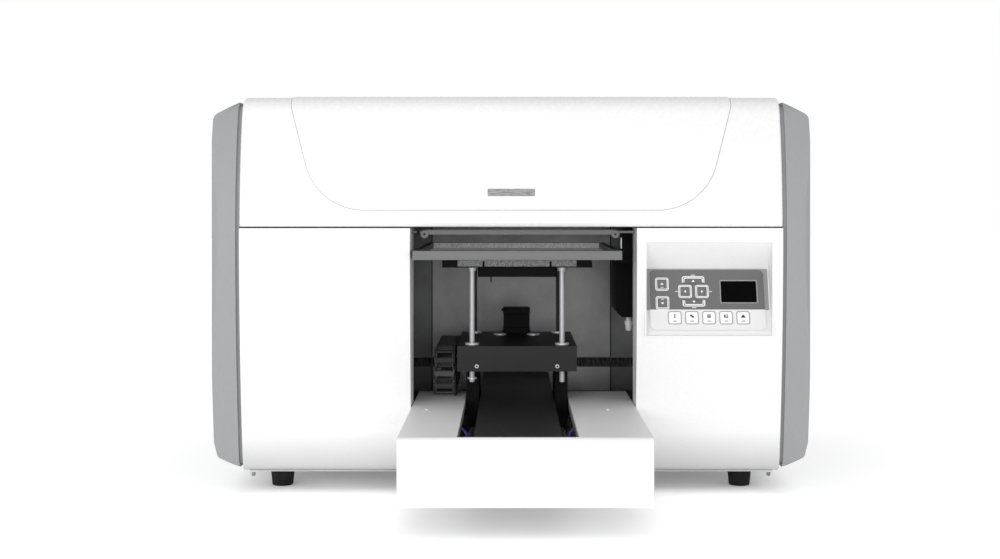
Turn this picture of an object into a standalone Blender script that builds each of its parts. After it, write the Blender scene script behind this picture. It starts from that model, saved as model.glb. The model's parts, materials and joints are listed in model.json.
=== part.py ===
"""Flatbed UV printer, modelled in metres with +Z up and the operator's side towards -Y.

The origin is on the floor, under the middle of the whole machine's box.
"""

import math

import bmesh
import bpy
from mathutils import Matrix, Vector

# Overall sizes.
BODY_WIDTH = 0.850
BODY_DEPTH = 0.600
OVERALL_HEIGHT = 0.563
HOUSING_REACH = 0.268
GAP = 0.0003

# Covers and panels.
SHEET = 0.002
SIDE_PANEL_WIDTH = 0.0405
SIDE_PANEL_GROOVE_WIDTH = 0.0045
SIDE_PANEL_GROOVE_DEPTH = 0.006
SIDE_PANEL_DROP = 0.007
SIDE_SHOULDER_DROP = 0.0205
SIDE_FOOT_RISE = 0.0175
SIDE_FOOT_LEAN = 0.0055
SIDE_PANEL_BOTTOM = 0.030
COVER_BOTTOM = 0.027
SEAM_HEIGHT = 0.3755
SEAM_GAP = 0.002
LOWER_BOW_RADIUS = 1.845
HOOD_BOW_RADIUS = 0.600
HOOD_CORNER_RADIUS = 0.035
COVER_DEPTH = 0.075
HINGE_SETBACK = 0.050
HINGE_DROP = 0.011
HINGE_ROD_RADIUS = 0.003
HINGE_EYE_RADIUS = 0.0065
HINGE_EYE_WIDTH = 0.012
HINGE_EYE_INSET = 0.080
HINGE_LUG_INSET = 0.050
LUG_NOTCH_CLEARANCE = 0.0008
LUG_NOTCH_REACH = 0.0105
HOOD_OVERHANG = 0.004
HOOD_REAR_GAP = 0.0085
HOOD_SHEET = 0.0025
RUNNING_CLEARANCE = 0.0003

# Opening, bed housing and chamber.
OPENING_LEFT = -0.1423
OPENING_RIGHT = 0.1778
DECK_HEIGHT = 0.122
HOUSING_BOTTOM = 0.0355
HOUSING_SIDE_CLEARANCE = 0.0013
DECK_BACK = 0.186
SLOT_MARGIN = 0.0203
BED_CENTRE = 0.00875
CHAMBER_SIDE_SPACE = 0.034
CHAMBER_DEPTH = 0.480
CHAMBER_TOP = 0.370
BACK_WALL_BOTTOM = 0.085
CABLE_SLOT_LOW = 0.127
CABLE_SLOT_HEIGHT = 0.016

PAN_SETBACK = 0.045
PAN_RIM = 0.014
PAN_PAD_PLACES = (0.080, 0.380)
PAN_PAD_LENGTH = 0.020

# Bed drive.
RAIL_BED_MARGIN = 0.021
RAIL_BED_TOP = 0.1205
RAIL_BED_BASE = 0.038
RAIL_BED_SHEET = 0.003
SHAFT_SPACING = 0.131
SHAFT_RADIUS = 0.006
SHAFT_HEIGHT = 0.075
BEARING_WIDTH = 0.018
BEARING_LENGTH = 0.140
BEARING_DROP = 0.013
BELT_HEIGHT = 0.04975
BELT_WIDTH = 0.006
BELT_THICKNESS = 0.0015
PULLEY_RADIUS = 0.0064
MOTOR_SIZE = 0.042
MOTOR_LENGTH = 0.040

# Lift and table.
BLOCK_MARGIN = 0.0415
BLOCK_DEPTH = 0.240
BLOCK_HEIGHT = 0.0365
BLOCK_BOTTOM = 0.168
BLOCK_SETBACK = 0.045
ROD_RADIUS = 0.004
SCREW_RADIUS = 0.0032
ROD_SETBACK = 0.025
SCREW_SETBACK = 0.220
ROD_BOTTOM = 0.150
COLLAR_RADIUS = 0.0068
COLLAR_HEIGHT = 0.006
STOP_HEIGHT = 0.007
STOP_THICKNESS = 0.0022
FLANGE_RADIUS = 0.010
FLANGE_THICKNESS = 0.0025
FRAME_WIDTH = 0.216
FRAME_HEIGHT = 0.013
FRAME_BAR_WIDTH = 0.036
FRAME_PLATE_HALF = 0.040
LOW_TIE_DROP = 0.0152
TABLE_WIDTH = 0.2932
TABLE_DEPTH = 0.406
TABLE_THICKNESS = 0.013
TABLE_TOP = 0.344
TABLE_RIM = 0.009
TABLE_FLOOR = 0.0025
TABLE_REACH = 0.021

# Print head.
BEAM_HEIGHT = 0.405
BEAM_SECTION = 0.040
BEAM_END_GAP = 0.012
RIB_REACH = 0.008
RIB_RISE = 0.012
RIB_HEIGHT = 0.016
BEAM_SETBACK = 0.168
HEAD_MOTOR_SETBACK = 0.025
HEAD_PARK = 0.187
HEAD_SETBACK = 0.121
HEAD_BOTTOM = 0.375
HEAD_WIDTH = 0.050
HEAD_HEIGHT = 0.070
LAMP_WIDTH = 0.018
LAMP_HEIGHT = 0.080
CARRIAGE_WIDTH = 0.090
STATION_TABLE_GAP = 0.0025
STATION_SETBACK = 0.153
STATION_LENGTH = 0.093
STATION_HEIGHT = 0.092
STATION_CHAMFER = 0.010
TIE_BAR_HEIGHT = 0.369
TIE_BAR_SETBACK = 0.035
TIE_BAR_HALF = 0.0035
TIE_LUG_RADIUS = 0.0058

# Drag chain.
CHAIN_WIDTH = 0.031
CHAIN_LINK_HEIGHT = 0.016
CHAIN_BEND_RADIUS = 0.034
CHAIN_PITCH = 0.019
CHAIN_CLEARANCE = 0.0065
CHAIN_FRONT = 0.117
CHAIN_LENGTH = 0.228

# Control panel.
PANEL_MARGIN = 0.0151
PANEL_WIDTH = 0.1776
PANEL_TOP = 0.3558
PANEL_BOTTOM = 0.2232
PANEL_FOLD_HEIGHT = 0.3164
PANEL_FOLD_DEPTH = 0.040
PANEL_LIP_DEPTH = 0.004
PANEL_LIP_HEIGHT = 0.226
KEYPAD_WIDTH = 0.164
KEYPAD_HEIGHT = 0.0885
KEYPAD_THICKNESS = 0.003
KEY_SIZE = 0.0165
KEY_WIDE = (0.0285, 0.0090)
KEY_THICKNESS = 0.0016
KEY_TRAVEL_ROOM = 0.0011
KEY_PROUD = 0.0003
DISPLAY_SIZE = (0.0505, 0.0310)

# Feet and rear fittings.
FOOT_HEIGHT = 0.024
FOOT_TOP_RADIUS = 0.018
FOOT_BOTTOM_RADIUS = 0.015
FOOT_SPACING_X = 0.666
FOOT_SETBACK = 0.075
REAR_RECESS = 0.0025
INLET_SIZE = (0.050, 0.060)
INLET_CENTRE = (-0.280, 0.110)
VENT_COUNT = 12
VENT_LEFT = 0.060
VENT_PITCH = 0.018
VENT_WIDTH = 0.006
VENT_BOTTOM = 0.300
VENT_HEIGHT = 0.080
ARC_STEPS = 6

# Sizes that follow from the two shafts, which the rods stand over.
ROD_SPACING = SHAFT_SPACING
SLOT_WIDTH = SHAFT_SPACING + SLOT_MARGIN
RAIL_BED_WIDTH = SHAFT_SPACING - RAIL_BED_MARGIN
BLOCK_WIDTH = ROD_SPACING + BLOCK_MARGIN
CHAIN_LEFT = BED_CENTRE - BLOCK_WIDTH / 2 - CHAIN_CLEARANCE - CHAIN_WIDTH

# Places that follow from the sizes above.
REAR = (BODY_DEPTH + HOUSING_REACH) / 2
FRONT = REAR - BODY_DEPTH
HOUSING_FRONT = -REAR
REAR_FACE = REAR - REAR_RECESS
SIDE_INNER = BODY_WIDTH / 2 - SIDE_PANEL_WIDTH
COVER_HALF = SIDE_INNER - 0.0006
SIDE_TOP = OVERALL_HEIGHT - SIDE_PANEL_DROP
HINGE_Y = REAR - HINGE_SETBACK
HINGE_Z = OVERALL_HEIGHT - HINGE_DROP
PAN_TOP = FOOT_HEIGHT + GAP + SHEET
CHAMBER_LEFT = OPENING_LEFT - CHAMBER_SIDE_SPACE
CHAMBER_RIGHT = OPENING_RIGHT + CHAMBER_SIDE_SPACE
BACK_WALL_Y = FRONT + CHAMBER_DEPTH
COVER_BACK = FRONT + COVER_DEPTH
HOUSING_LEFT = OPENING_LEFT + HOUSING_SIDE_CLEARANCE
HOUSING_RIGHT = OPENING_RIGHT - HOUSING_SIDE_CLEARANCE
DECK_REAR = FRONT + DECK_BACK
BLOCK_FRONT = FRONT + BLOCK_SETBACK
BLOCK_TOP = BLOCK_BOTTOM + BLOCK_HEIGHT
FRAME_TOP = TABLE_TOP - TABLE_THICKNESS - GAP
FRAME_BOTTOM = FRAME_TOP - FRAME_HEIGHT
TABLE_LEFT = BED_CENTRE - TABLE_WIDTH / 2
TABLE_FRONT = FRONT - TABLE_REACH
BEAM_FRONT = FRONT + BEAM_SETBACK
HEAD_Y = FRONT + HEAD_SETBACK
CHAIN_Y = FRONT + CHAIN_FRONT + CHAIN_BEND_RADIUS
CHAIN_Z = DECK_HEIGHT + GAP + CHAIN_BEND_RADIUS
PANEL_LEFT = COVER_HALF - PANEL_MARGIN - PANEL_WIDTH


# --- Scene -------------------------------------------------------------------

for leftover in list(bpy.data.objects):
    bpy.data.objects.remove(leftover)

parts = bpy.data.collections.new("flatbed_uv_printer")
cutters = bpy.data.collections.new("cutters")
bpy.context.scene.collection.children.link(parts)
bpy.context.scene.collection.children.link(cutters)


def finish_of(name, colour, roughness, metallic=0.0):
    """One Principled material."""
    finish = bpy.data.materials.new(name)
    finish.use_nodes = True
    shader = finish.node_tree.nodes["Principled BSDF"]
    shader.inputs["Base Color"].default_value = (*colour, 1.0)
    shader.inputs["Roughness"].default_value = roughness
    shader.inputs["Metallic"].default_value = metallic
    return finish


def white_enamel(name):
    return finish_of(name, (0.90, 0.90, 0.90), 0.35)


def grey_enamel(name):
    return finish_of(name, (0.38, 0.38, 0.39), 0.40)


def galvanised_sheet(name):
    return finish_of(name, (0.22, 0.22, 0.22), 0.55, 0.6)


def black_anodised(name):
    return finish_of(name, (0.02, 0.02, 0.02), 0.45, 0.3)


def grey_anodised(name):
    return finish_of(name, (0.17, 0.17, 0.17), 0.45, 0.5)


def bright_steel(name):
    return finish_of(name, (0.62, 0.62, 0.63), 0.22, 1.0)


def black_plastic(name):
    return finish_of(name, (0.03, 0.03, 0.03), 0.5)


def black_rubber(name):
    return finish_of(name, (0.02, 0.02, 0.02), 0.8)


def grey_plastic(name):
    return finish_of(name, (0.30, 0.30, 0.31), 0.5)


def white_plastic(name):
    return finish_of(name, (0.80, 0.80, 0.80), 0.4)


def black_glass(name):
    return finish_of(name, (0.01, 0.01, 0.012), 0.08)


# --- Modelling helpers -------------------------------------------------------


def tool(mesh, matrix):
    """A solid in the cutters' collection, until it becomes a part."""
    solid = bpy.data.objects.new("tool", mesh)
    solid.matrix_world = matrix
    solid.hide_render = True
    solid.display_type = "WIRE"
    cutters.objects.link(solid)
    return solid


def box(low, high):
    """A box from its low corner to its high corner."""
    size = [b - a for a, b in zip(low, high)]
    centre = [(a + b) / 2 for a, b in zip(low, high)]
    shape = bmesh.new()
    bmesh.ops.create_cube(shape, size=1.0, matrix=Matrix.Diagonal((*size, 1.0)))
    mesh = bpy.data.meshes.new("box")
    shape.to_mesh(mesh)
    shape.free()
    return tool(mesh, Matrix.Translation(centre))


AXIS_TURN = {
    "X": Matrix(((0, 0, 1), (1, 0, 0), (0, 1, 0))).to_4x4(),
    "Y": Matrix(((1, 0, 0), (0, 0, -1), (0, 1, 0))).to_4x4(),
    "Z": Matrix.Identity(4),
}


def cylinder(radius, low, high, centre, axis, segments=32, top_radius=None):
    """A cylinder, or a cone, between two heights along an axis through a centre."""
    middle = Vector(centre)
    middle["XYZ".index(axis)] = (low + high) / 2
    shape = bmesh.new()
    bmesh.ops.create_cone(
        shape,
        cap_ends=True,
        segments=segments,
        radius1=radius,
        radius2=radius if top_radius is None else top_radius,
        depth=high - low,
    )
    mesh = bpy.data.meshes.new("cylinder")
    shape.to_mesh(mesh)
    shape.free()
    mesh.shade_smooth()
    mesh.set_sharp_from_angle(angle=math.radians(40))
    return tool(mesh, Matrix.Translation(middle) @ AXIS_TURN[axis])


def rounded(corners, steps=ARC_STEPS):
    """An outline through (a, b, radius) corners, each radius drawn as an arc."""
    outline = []
    for index, (a, b, radius) in enumerate(corners):
        here = Vector((a, b))
        if radius == 0.0:
            outline.append(here)
            continue
        before = (Vector(corners[index - 1][:2]) - here).normalized()
        after = (Vector(corners[(index + 1) % len(corners)][:2]) - here).normalized()
        half = before.angle(after) / 2
        reach = radius / math.tan(half)
        centre = here + (before + after).normalized() * radius / math.sin(half)
        start = here + before * reach - centre
        end = here + after * reach - centre
        begin = math.atan2(start.y, start.x)
        sweep = math.atan2(start.cross(end), start.dot(end))
        for step in range(steps + 1):
            angle = begin + sweep * step / steps
            outline.append(centre + radius * Vector((math.cos(angle), math.sin(angle))))
    return outline


def plate(outline, low, high, axis):
    """A flat outline extruded between two places along an axis.

    The outline is (y, z) along X, (x, z) along Y and (x, y) along Z.
    """
    curve = bpy.data.curves.new("outline", "CURVE")
    curve.dimensions = "2D"
    curve.fill_mode = "BOTH"
    curve.extrude = (high - low) / 2
    spline = curve.splines.new("POLY")
    spline.points.add(len(outline) - 1)
    for point, (a, b) in zip(spline.points, outline):
        point.co = (a, b, 0.0, 1.0)
    spline.use_cyclic_u = True
    source = bpy.data.objects.new("outline", curve)
    cutters.objects.link(source)
    middle = Vector((0.0, 0.0, 0.0))
    middle["XYZ".index(axis)] = (low + high) / 2
    source.matrix_world = Matrix.Translation(middle) @ AXIS_TURN[axis]
    bpy.context.view_layer.update()
    depsgraph = bpy.context.evaluated_depsgraph_get()
    mesh = bpy.data.meshes.new_from_object(source.evaluated_get(depsgraph))
    shape = bmesh.new()
    shape.from_mesh(mesh)
    bmesh.ops.remove_doubles(shape, verts=shape.verts, dist=0.00001)
    bmesh.ops.recalc_face_normals(shape, faces=shape.faces)
    shape.to_mesh(mesh)
    shape.free()
    solid = tool(mesh, source.matrix_world)
    bpy.data.objects.remove(source)
    return solid


def turned(profile, centre, segments=24):
    """A turned piece about Z through centre: (radius, height) points from top to bottom."""
    mesh = bpy.data.meshes.new("turned")
    points = [(radius, 0.0, height) for radius, height in profile]
    edges = [(i, i + 1) for i in range(len(points) - 1)]
    mesh.from_pydata(points, edges, [])
    solid = tool(mesh, Matrix.Translation((centre[0], centre[1], 0.0)))
    screw = solid.modifiers.new("Turn", "SCREW")
    screw.steps = segments
    screw.render_steps = segments
    screw.use_merge_vertices = True
    screw.merge_threshold = 0.00001
    screw.use_smooth_shade = True
    return solid


def combine(solid, operation, tools):
    for other in tools:
        step = solid.modifiers.new(operation.title(), "BOOLEAN")
        step.operation = operation
        step.solver = "EXACT"
        step.object = other
    return solid


def cut(solid, *tools):
    return combine(solid, "DIFFERENCE", tools)


def join(solid, *tools):
    return combine(solid, "UNION", tools)


def common(solid, *tools):
    return combine(solid, "INTERSECT", tools)


def make_part(name, solid, finish, carrier=None):
    """Names a solid as a finished part, and hangs it from its carrier if it moves."""
    solid.name = name
    solid.hide_render = False
    solid.display_type = "TEXTURED"
    cutters.objects.unlink(solid)
    parts.objects.link(solid)
    solid.data.materials.clear()
    solid.data.materials.append(finish(name))
    if carrier:
        solid.parent = carrier
        solid.matrix_parent_inverse = carrier.matrix_world.inverted()
    return solid


def carrier(name, place, parent=None):
    """An empty on a joint's axis, which its moving pieces hang from."""
    empty = bpy.data.objects.new(name, None)
    parts.objects.link(empty)
    empty.empty_display_size = 0.02
    empty.location = place
    if parent:
        empty.parent = parent
        empty.matrix_parent_inverse = parent.matrix_world.inverted()
    bpy.context.view_layer.update()
    return empty


# --- Covers ------------------------------------------------------------------


def lower_setback(height):
    return (SEAM_HEIGHT - height) ** 2 / (2 * LOWER_BOW_RADIUS)


def hood_setback(height):
    return (height - SEAM_HEIGHT) ** 2 / (2 * HOOD_BOW_RADIUS)


def bowed_front(bottom, top, inset):
    """(y, z) points up the bowed front of the covers, from one height to another."""
    points = []
    spans = 12
    for step in range(spans + 1):
        height = bottom + (top - bottom) * step / spans
        bow = lower_setback if height < SEAM_HEIGHT else hood_setback
        points.append((FRONT + inset + bow(height), height, 0.0))
    return points


def lower_cover_profile(inset):
    """Side view of a lower cover: rounded foot, bowed front, open back."""
    low = COVER_BOTTOM + inset
    high = SEAM_HEIGHT - inset
    back = COVER_BACK + (0.010 if inset else 0.0)
    front = bowed_front(low + 0.020, high, inset)
    foot = (FRONT + inset + lower_setback(low) + 0.002, low, 0.013)
    return rounded([(back, low, 0.0), foot, *front, (back, high, 0.0)])


def cover_shell(left, right):
    """Sheet cover with turned-in edges, open at the back."""
    shell = plate(lower_cover_profile(0.0), left, right, "X")
    hollow = plate(lower_cover_profile(SHEET), left + SHEET, right - SHEET, "X")
    return cut(shell, hollow)


def make_front_cover_left():
    make_part("front_cover_left", cover_shell(-COVER_HALF, OPENING_LEFT), white_enamel)


def panel_recess(grow):
    """Side view of the control panel's recess, grown by a wall."""
    mouth = -0.010 if grow == 0.0 else 0.0015
    lip_depth = FRONT + PANEL_LIP_DEPTH + lower_setback(PANEL_LIP_HEIGHT)
    return [
        (FRONT + mouth, PANEL_TOP + grow),
        (FRONT + 0.0015, PANEL_TOP + grow),
        (FRONT + PANEL_FOLD_DEPTH + grow, PANEL_FOLD_HEIGHT + grow / 2),
        (lip_depth + grow, PANEL_LIP_HEIGHT - grow / 2),
        (FRONT + lower_setback(PANEL_BOTTOM) + 0.0015, PANEL_BOTTOM - grow),
        (FRONT + mouth, PANEL_BOTTOM - grow),
    ]


def make_front_cover_right():
    cover = cover_shell(OPENING_RIGHT, COVER_HALF)
    right = PANEL_LEFT + PANEL_WIDTH
    pocket = plate(panel_recess(SHEET), PANEL_LEFT - SHEET, right + SHEET, "X")
    hollow = plate(panel_recess(0.0), PANEL_LEFT, right, "X")
    make_part("front_cover_right", cut(join(cover, pocket), hollow), white_enamel)


def side_view(inset, radius):
    """Side view of a side panel: it follows the bow of the covers, with rounded corners."""
    low = SIDE_PANEL_BOTTOM + inset
    high = SIDE_TOP - inset
    front = bowed_front(low + 0.040, high - 0.040, inset)
    back = REAR - inset
    return rounded(
        [
            (back, low, radius),
            (FRONT + inset + lower_setback(low), low, radius),
            *front,
            (FRONT + inset + hood_setback(high), high, radius),
            (back, high, radius),
        ]
    )


def front_view(side, inner, inset):
    """Front view of a side panel: sloped shoulder, sloped foot, slight inward lean."""
    outer = BODY_WIDTH / 2 - inset
    low = SIDE_PANEL_BOTTOM + inset
    high = SIDE_TOP - inset
    corners = [
        (inner, high, 0.0),
        (outer - 0.001, high - SIDE_SHOULDER_DROP, 0.012),
        (outer, high - 0.100, 0.0),
        (outer - 0.001, low + 0.040, 0.010),
        (outer - SIDE_FOOT_LEAN, low + SIDE_FOOT_RISE, 0.008),
        (inner, low, 0.0),
    ]
    return rounded([(side * x, z, radius) for x, z, radius in corners])


def plan_view(side, inner, inset):
    """Top view of a side panel, with rounded outer corners."""
    outer = BODY_WIDTH / 2 - inset
    corners = [
        (inner, FRONT - 0.001, 0.0),
        (outer, FRONT - 0.001 + inset, 0.018),
        (outer, REAR + 0.001 - inset, 0.018),
        (inner, REAR + 0.001, 0.0),
    ]
    return rounded([(side * x, y, radius) for x, y, radius in corners])


def trim_side(solid, side, inner, inset):
    """Keeps of a solid only what lies in the side panel's front and top views."""
    common(solid, plate(front_view(side, inner, inset), FRONT - 0.01, REAR + 0.01, "Y"))
    common(solid, plate(plan_view(side, inner, inset), 0.0, OVERALL_HEIGHT, "Z"))


def side_panel(name, side):
    """Moulded side panel: bulged outside, open inside, with a stepped inner edge."""
    face = SIDE_INNER + SIDE_PANEL_GROOVE_WIDTH
    wall = 0.003
    rim = SIDE_PANEL_GROOVE_DEPTH + wall
    limits = sorted((side * face, side * (BODY_WIDTH / 2 + 0.001)))
    panel = plate(side_view(0.0, 0.022), *limits, "X")
    trim_side(panel, side, face - 0.002, 0.0)
    step_limits = sorted((side * SIDE_INNER, side * (face + 0.004)))
    join(panel, plate(side_view(SIDE_PANEL_GROOVE_DEPTH, 0.016), *step_limits, "X"))
    hollow_limits = sorted((side * (SIDE_INNER - 0.004), side * (BODY_WIDTH / 2)))
    hollow = plate(side_view(rim, 0.013), *hollow_limits, "X")
    trim_side(hollow, side, SIDE_INNER - 0.006, wall)
    make_part(name, cut(panel, hollow), grey_enamel)


def hood_profile(inset):
    """Side view of the hood: bowed front, rounded top edge, flat top."""
    low = SEAM_HEIGHT + SEAM_GAP - (0.010 if inset else 0.0)
    high = OVERALL_HEIGHT - inset
    back = HINGE_Y + HOOD_OVERHANG + (0.010 if inset else 0.0)
    radius = HOOD_CORNER_RADIUS - inset
    front = bowed_front(max(low, SEAM_HEIGHT), high - radius - 0.004, inset)
    if inset:
        front.insert(0, (FRONT + inset, low, 0.0))
    top_edge = (FRONT + inset + hood_setback(high), high, radius)
    return rounded([(back, low, 0.0), *front, top_edge, (back, high, 0.0)])


def hinge_eye(left, right, reach, top):
    """An eye round the hinge rod, with a tongue that runs back or forward to its owner."""
    eye = cylinder(HINGE_EYE_RADIUS, left, right, (0.0, HINGE_Y, HINGE_Z), "X", 24)
    near, far = sorted((HINGE_Y, HINGE_Y + reach))
    return join(eye, box((left, near, HINGE_Z - HINGE_EYE_RADIUS + 0.0004), (right, far, top)))


def hinge_span(side, inset):
    """Left and right faces of a hinge eye, a given distance in from the cover's side."""
    place = COVER_HALF - inset
    return sorted((side * place, side * (place - HINGE_EYE_WIDTH)))


def hinge_bore():
    return cylinder(
        HINGE_ROD_RADIUS + RUNNING_CLEARANCE, -COVER_HALF, COVER_HALF, (0.0, HINGE_Y, HINGE_Z), "X", 24
    )


def make_hood(lid_carrier):
    """The lid: front, top and cheeks, two eyes on the hinge rod and a notch over each lug."""
    hood = plate(hood_profile(0.0), -COVER_HALF, COVER_HALF, "X")
    cut(hood, plate(hood_profile(HOOD_SHEET), -COVER_HALF + SHEET, COVER_HALF - SHEET, "X"))
    for side in (-1, 1):
        left, right = hinge_span(side, HINGE_EYE_INSET)
        join(hood, hinge_eye(left, right, -0.014, OVERALL_HEIGHT - HOOD_SHEET / 2))
        left, right = hinge_span(side, HINGE_LUG_INSET)
        notch_low = (left - LUG_NOTCH_CLEARANCE, HINGE_Y - LUG_NOTCH_REACH, HINGE_Z)
        notch_high = (right + LUG_NOTCH_CLEARANCE, HINGE_Y + 0.020, OVERALL_HEIGHT + 0.010)
        cut(hood, box(notch_low, notch_high))
    cut(hood, hinge_bore())
    make_part("hood", hood, white_enamel, lid_carrier)


def make_hinge_rod():
    length = COVER_HALF - 0.006
    rod = cylinder(HINGE_ROD_RADIUS, -length, length, (0.0, HINGE_Y, HINGE_Z), "X", 24)
    make_part("hinge_rod", rod, bright_steel)


def make_rear_cover():
    """Back plate with a top ledge, vent slots and the lugs that hold the hinge rod."""
    ledge = HINGE_Y + HOOD_OVERHANG + HOOD_REAR_GAP
    top = OVERALL_HEIGHT - 0.003
    low = PAN_TOP + 0.002
    corners = [(ledge, top, 0.0), (ledge, low, 0.0), (REAR_FACE, low, 0.0), (REAR_FACE, top, 0.015)]
    outer = rounded(corners)
    inner = rounded(
        [
            (ledge - 0.005, top - SHEET, 0.0),
            (ledge - 0.005, low - 0.005, 0.0),
            (REAR_FACE - SHEET, low - 0.005, 0.0),
            (REAR_FACE - SHEET, top - SHEET, 0.013),
        ]
    )
    cover = plate(outer, -COVER_HALF, COVER_HALF, "X")
    cut(cover, plate(inner, -COVER_HALF - 0.001, COVER_HALF + 0.001, "X"))
    for side in (-1, 1):
        left, right = hinge_span(side, HINGE_LUG_INSET)
        join(cover, hinge_eye(left, right, ledge + 0.006 - HINGE_Y, top - SHEET / 2))
    cut(cover, hinge_bore())
    for column in range(VENT_COUNT):
        x = VENT_LEFT + column * VENT_PITCH
        slot_top = VENT_BOTTOM + VENT_HEIGHT
        cut(cover, box((x, REAR_FACE - 0.005, VENT_BOTTOM), (x + VENT_WIDTH, REAR_FACE + 0.005, slot_top)))
    half_width = INLET_SIZE[0] / 2 - 0.003
    half_height = INLET_SIZE[1] / 2 - 0.003
    x, z = INLET_CENTRE
    hole_low = (x - half_width, REAR_FACE - 0.005, z - half_height)
    cut(cover, box(hole_low, (x + half_width, REAR_FACE + 0.005, z + half_height)))
    make_part("rear_cover", cover, grey_enamel)


def make_base_pan():
    """Floor tray of the body, with pads under the rail bed."""
    half = SIDE_INNER - 0.008
    low = FOOT_HEIGHT + GAP
    back = REAR_FACE - SHEET - 0.003
    pan = box((-half, FRONT + PAN_SETBACK, low), (half, back, PAN_TOP))
    for side in (-1, 1):
        left, right = sorted((side * half, side * (half - SHEET)))
        join(pan, box((left, COVER_BACK + 0.003, low), (right, back, PAN_TOP + PAN_RIM)))
    half_pad = RAIL_BED_WIDTH / 2 + 0.015
    for y in PAN_PAD_PLACES:
        pad_low = (BED_CENTRE - half_pad, FRONT + y, low + 0.001)
        join(pan, box(pad_low, (BED_CENTRE + half_pad, FRONT + y + PAN_PAD_LENGTH, RAIL_BED_BASE - GAP)))
    make_part("base_pan", pan, galvanised_sheet)


def make_feet():
    """Four tapered rubber feet under the base pan."""
    rows = {"front": FRONT + FOOT_SETBACK, "rear": REAR - FOOT_SETBACK}
    for row, y in rows.items():
        for end, side in (("left", -1), ("right", 1)):
            place = (side * FOOT_SPACING_X / 2, y, 0.0)
            foot = cylinder(FOOT_BOTTOM_RADIUS, 0.0, FOOT_HEIGHT, place, "Z", 32, FOOT_TOP_RADIUS)
            make_part(f"foot_{row}_{end}", foot, black_rubber)


# --- Chamber -----------------------------------------------------------------


def chamber_wall(name, wall, lip):
    """Upright side wall with a lip that closes the space behind the cover."""
    outward = -1 if wall < lip else 1
    front = COVER_BACK + 0.0007
    back = BACK_WALL_Y + SHEET
    corners = [
        (wall, back),
        (wall, front + SHEET),
        (lip, front + SHEET),
        (lip, front),
        (wall + outward * SHEET, front),
        (wall + outward * SHEET, back),
    ]
    make_part(name, plate(corners, PAN_TOP + GAP, CHAMBER_TOP, "Z"), galvanised_sheet)


def make_chamber_walls():
    chamber_wall("chamber_wall_left", CHAMBER_LEFT, OPENING_LEFT - SHEET - 0.0007)
    chamber_wall("chamber_wall_right", CHAMBER_RIGHT, OPENING_RIGHT + SHEET + 0.0007)


def make_chamber_back_wall():
    """Back wall of the chamber, with the long cable slot across it."""
    left = CHAMBER_LEFT + GAP
    right = CHAMBER_RIGHT - GAP
    wall = box((left, BACK_WALL_Y, BACK_WALL_BOTTOM), (right, BACK_WALL_Y + SHEET, CHAMBER_TOP))
    slot_top = CABLE_SLOT_LOW + CABLE_SLOT_HEIGHT
    slot_low = (left + 0.012, BACK_WALL_Y - 0.01, CABLE_SLOT_LOW)
    slot = box(slot_low, (right - 0.012, BACK_WALL_Y + 0.01, slot_top))
    make_part("chamber_back_wall", cut(wall, slot), galvanised_sheet)


def make_capping_station():
    """Housing on the right wall that caps the parked print head."""
    left = TABLE_LEFT + TABLE_WIDTH + STATION_TABLE_GAP
    right = CHAMBER_RIGHT - GAP
    front = FRONT + STATION_SETBACK
    top = FRAME_TOP - 0.001
    bottom = top - STATION_HEIGHT
    chamfer = STATION_CHAMFER
    outline = [(right, top), (left, top), (left, bottom + chamfer), (left + chamfer, bottom), (right, bottom)]
    station = plate(outline, front, front + STATION_LENGTH, "Y")
    shelf_low = (left + 0.003, HEAD_Y - 0.028, top - 0.008)
    join(station, box(shelf_low, (right, front + 0.02, top - 0.0005)))
    cap_left = HEAD_PARK - HEAD_WIDTH / 2 + 0.002
    cap_right = HEAD_PARK + HEAD_WIDTH / 2 - 0.002
    cap_top = HEAD_BOTTOM - 0.004
    cap = box((cap_left, HEAD_Y - 0.025, top - 0.004), (cap_right, HEAD_Y + 0.025, cap_top))
    make_part("capping_station", join(station, cap), black_plastic)


def make_tie_bar():
    """Bar across the top of the opening, with a round lug at each end."""
    height = TIE_BAR_HALF
    z = TIE_BAR_HEIGHT
    y = FRONT + TIE_BAR_SETBACK
    left = TABLE_LEFT + 0.014
    right = TABLE_LEFT + TABLE_WIDTH - 0.006
    bar = box((left, y - 0.004, z - height), (right, y + 0.004, z + height))
    for x in (left, right):
        join(bar, cylinder(TIE_LUG_RADIUS, y - 0.005, y + 0.005, (x, 0.0, z - 0.003), "Y", 20))
    for end, edge in ((left, OPENING_LEFT + GAP), (right, OPENING_RIGHT - GAP)):
        low, high = sorted((end, edge))
        join(bar, box((low, y + 0.002, z - 0.0015), (high, y + 0.0035, z + 0.002)))
    make_part("tie_bar", bar, grey_anodised)


# --- Bed ---------------------------------------------------------------------


def housing_view(inset):
    """Side view of the bed housing, with a rounded top front edge."""
    front = HOUSING_FRONT + inset
    top = DECK_HEIGHT - inset
    low = HOUSING_BOTTOM - (0.010 if inset else 0.0)
    back = DECK_REAR + (0.010 if inset else 0.0)
    return rounded([(back, low, 0.0), (front, low, 0.0), (front, top, 0.006 - inset), (back, top, 0.0)])


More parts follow.
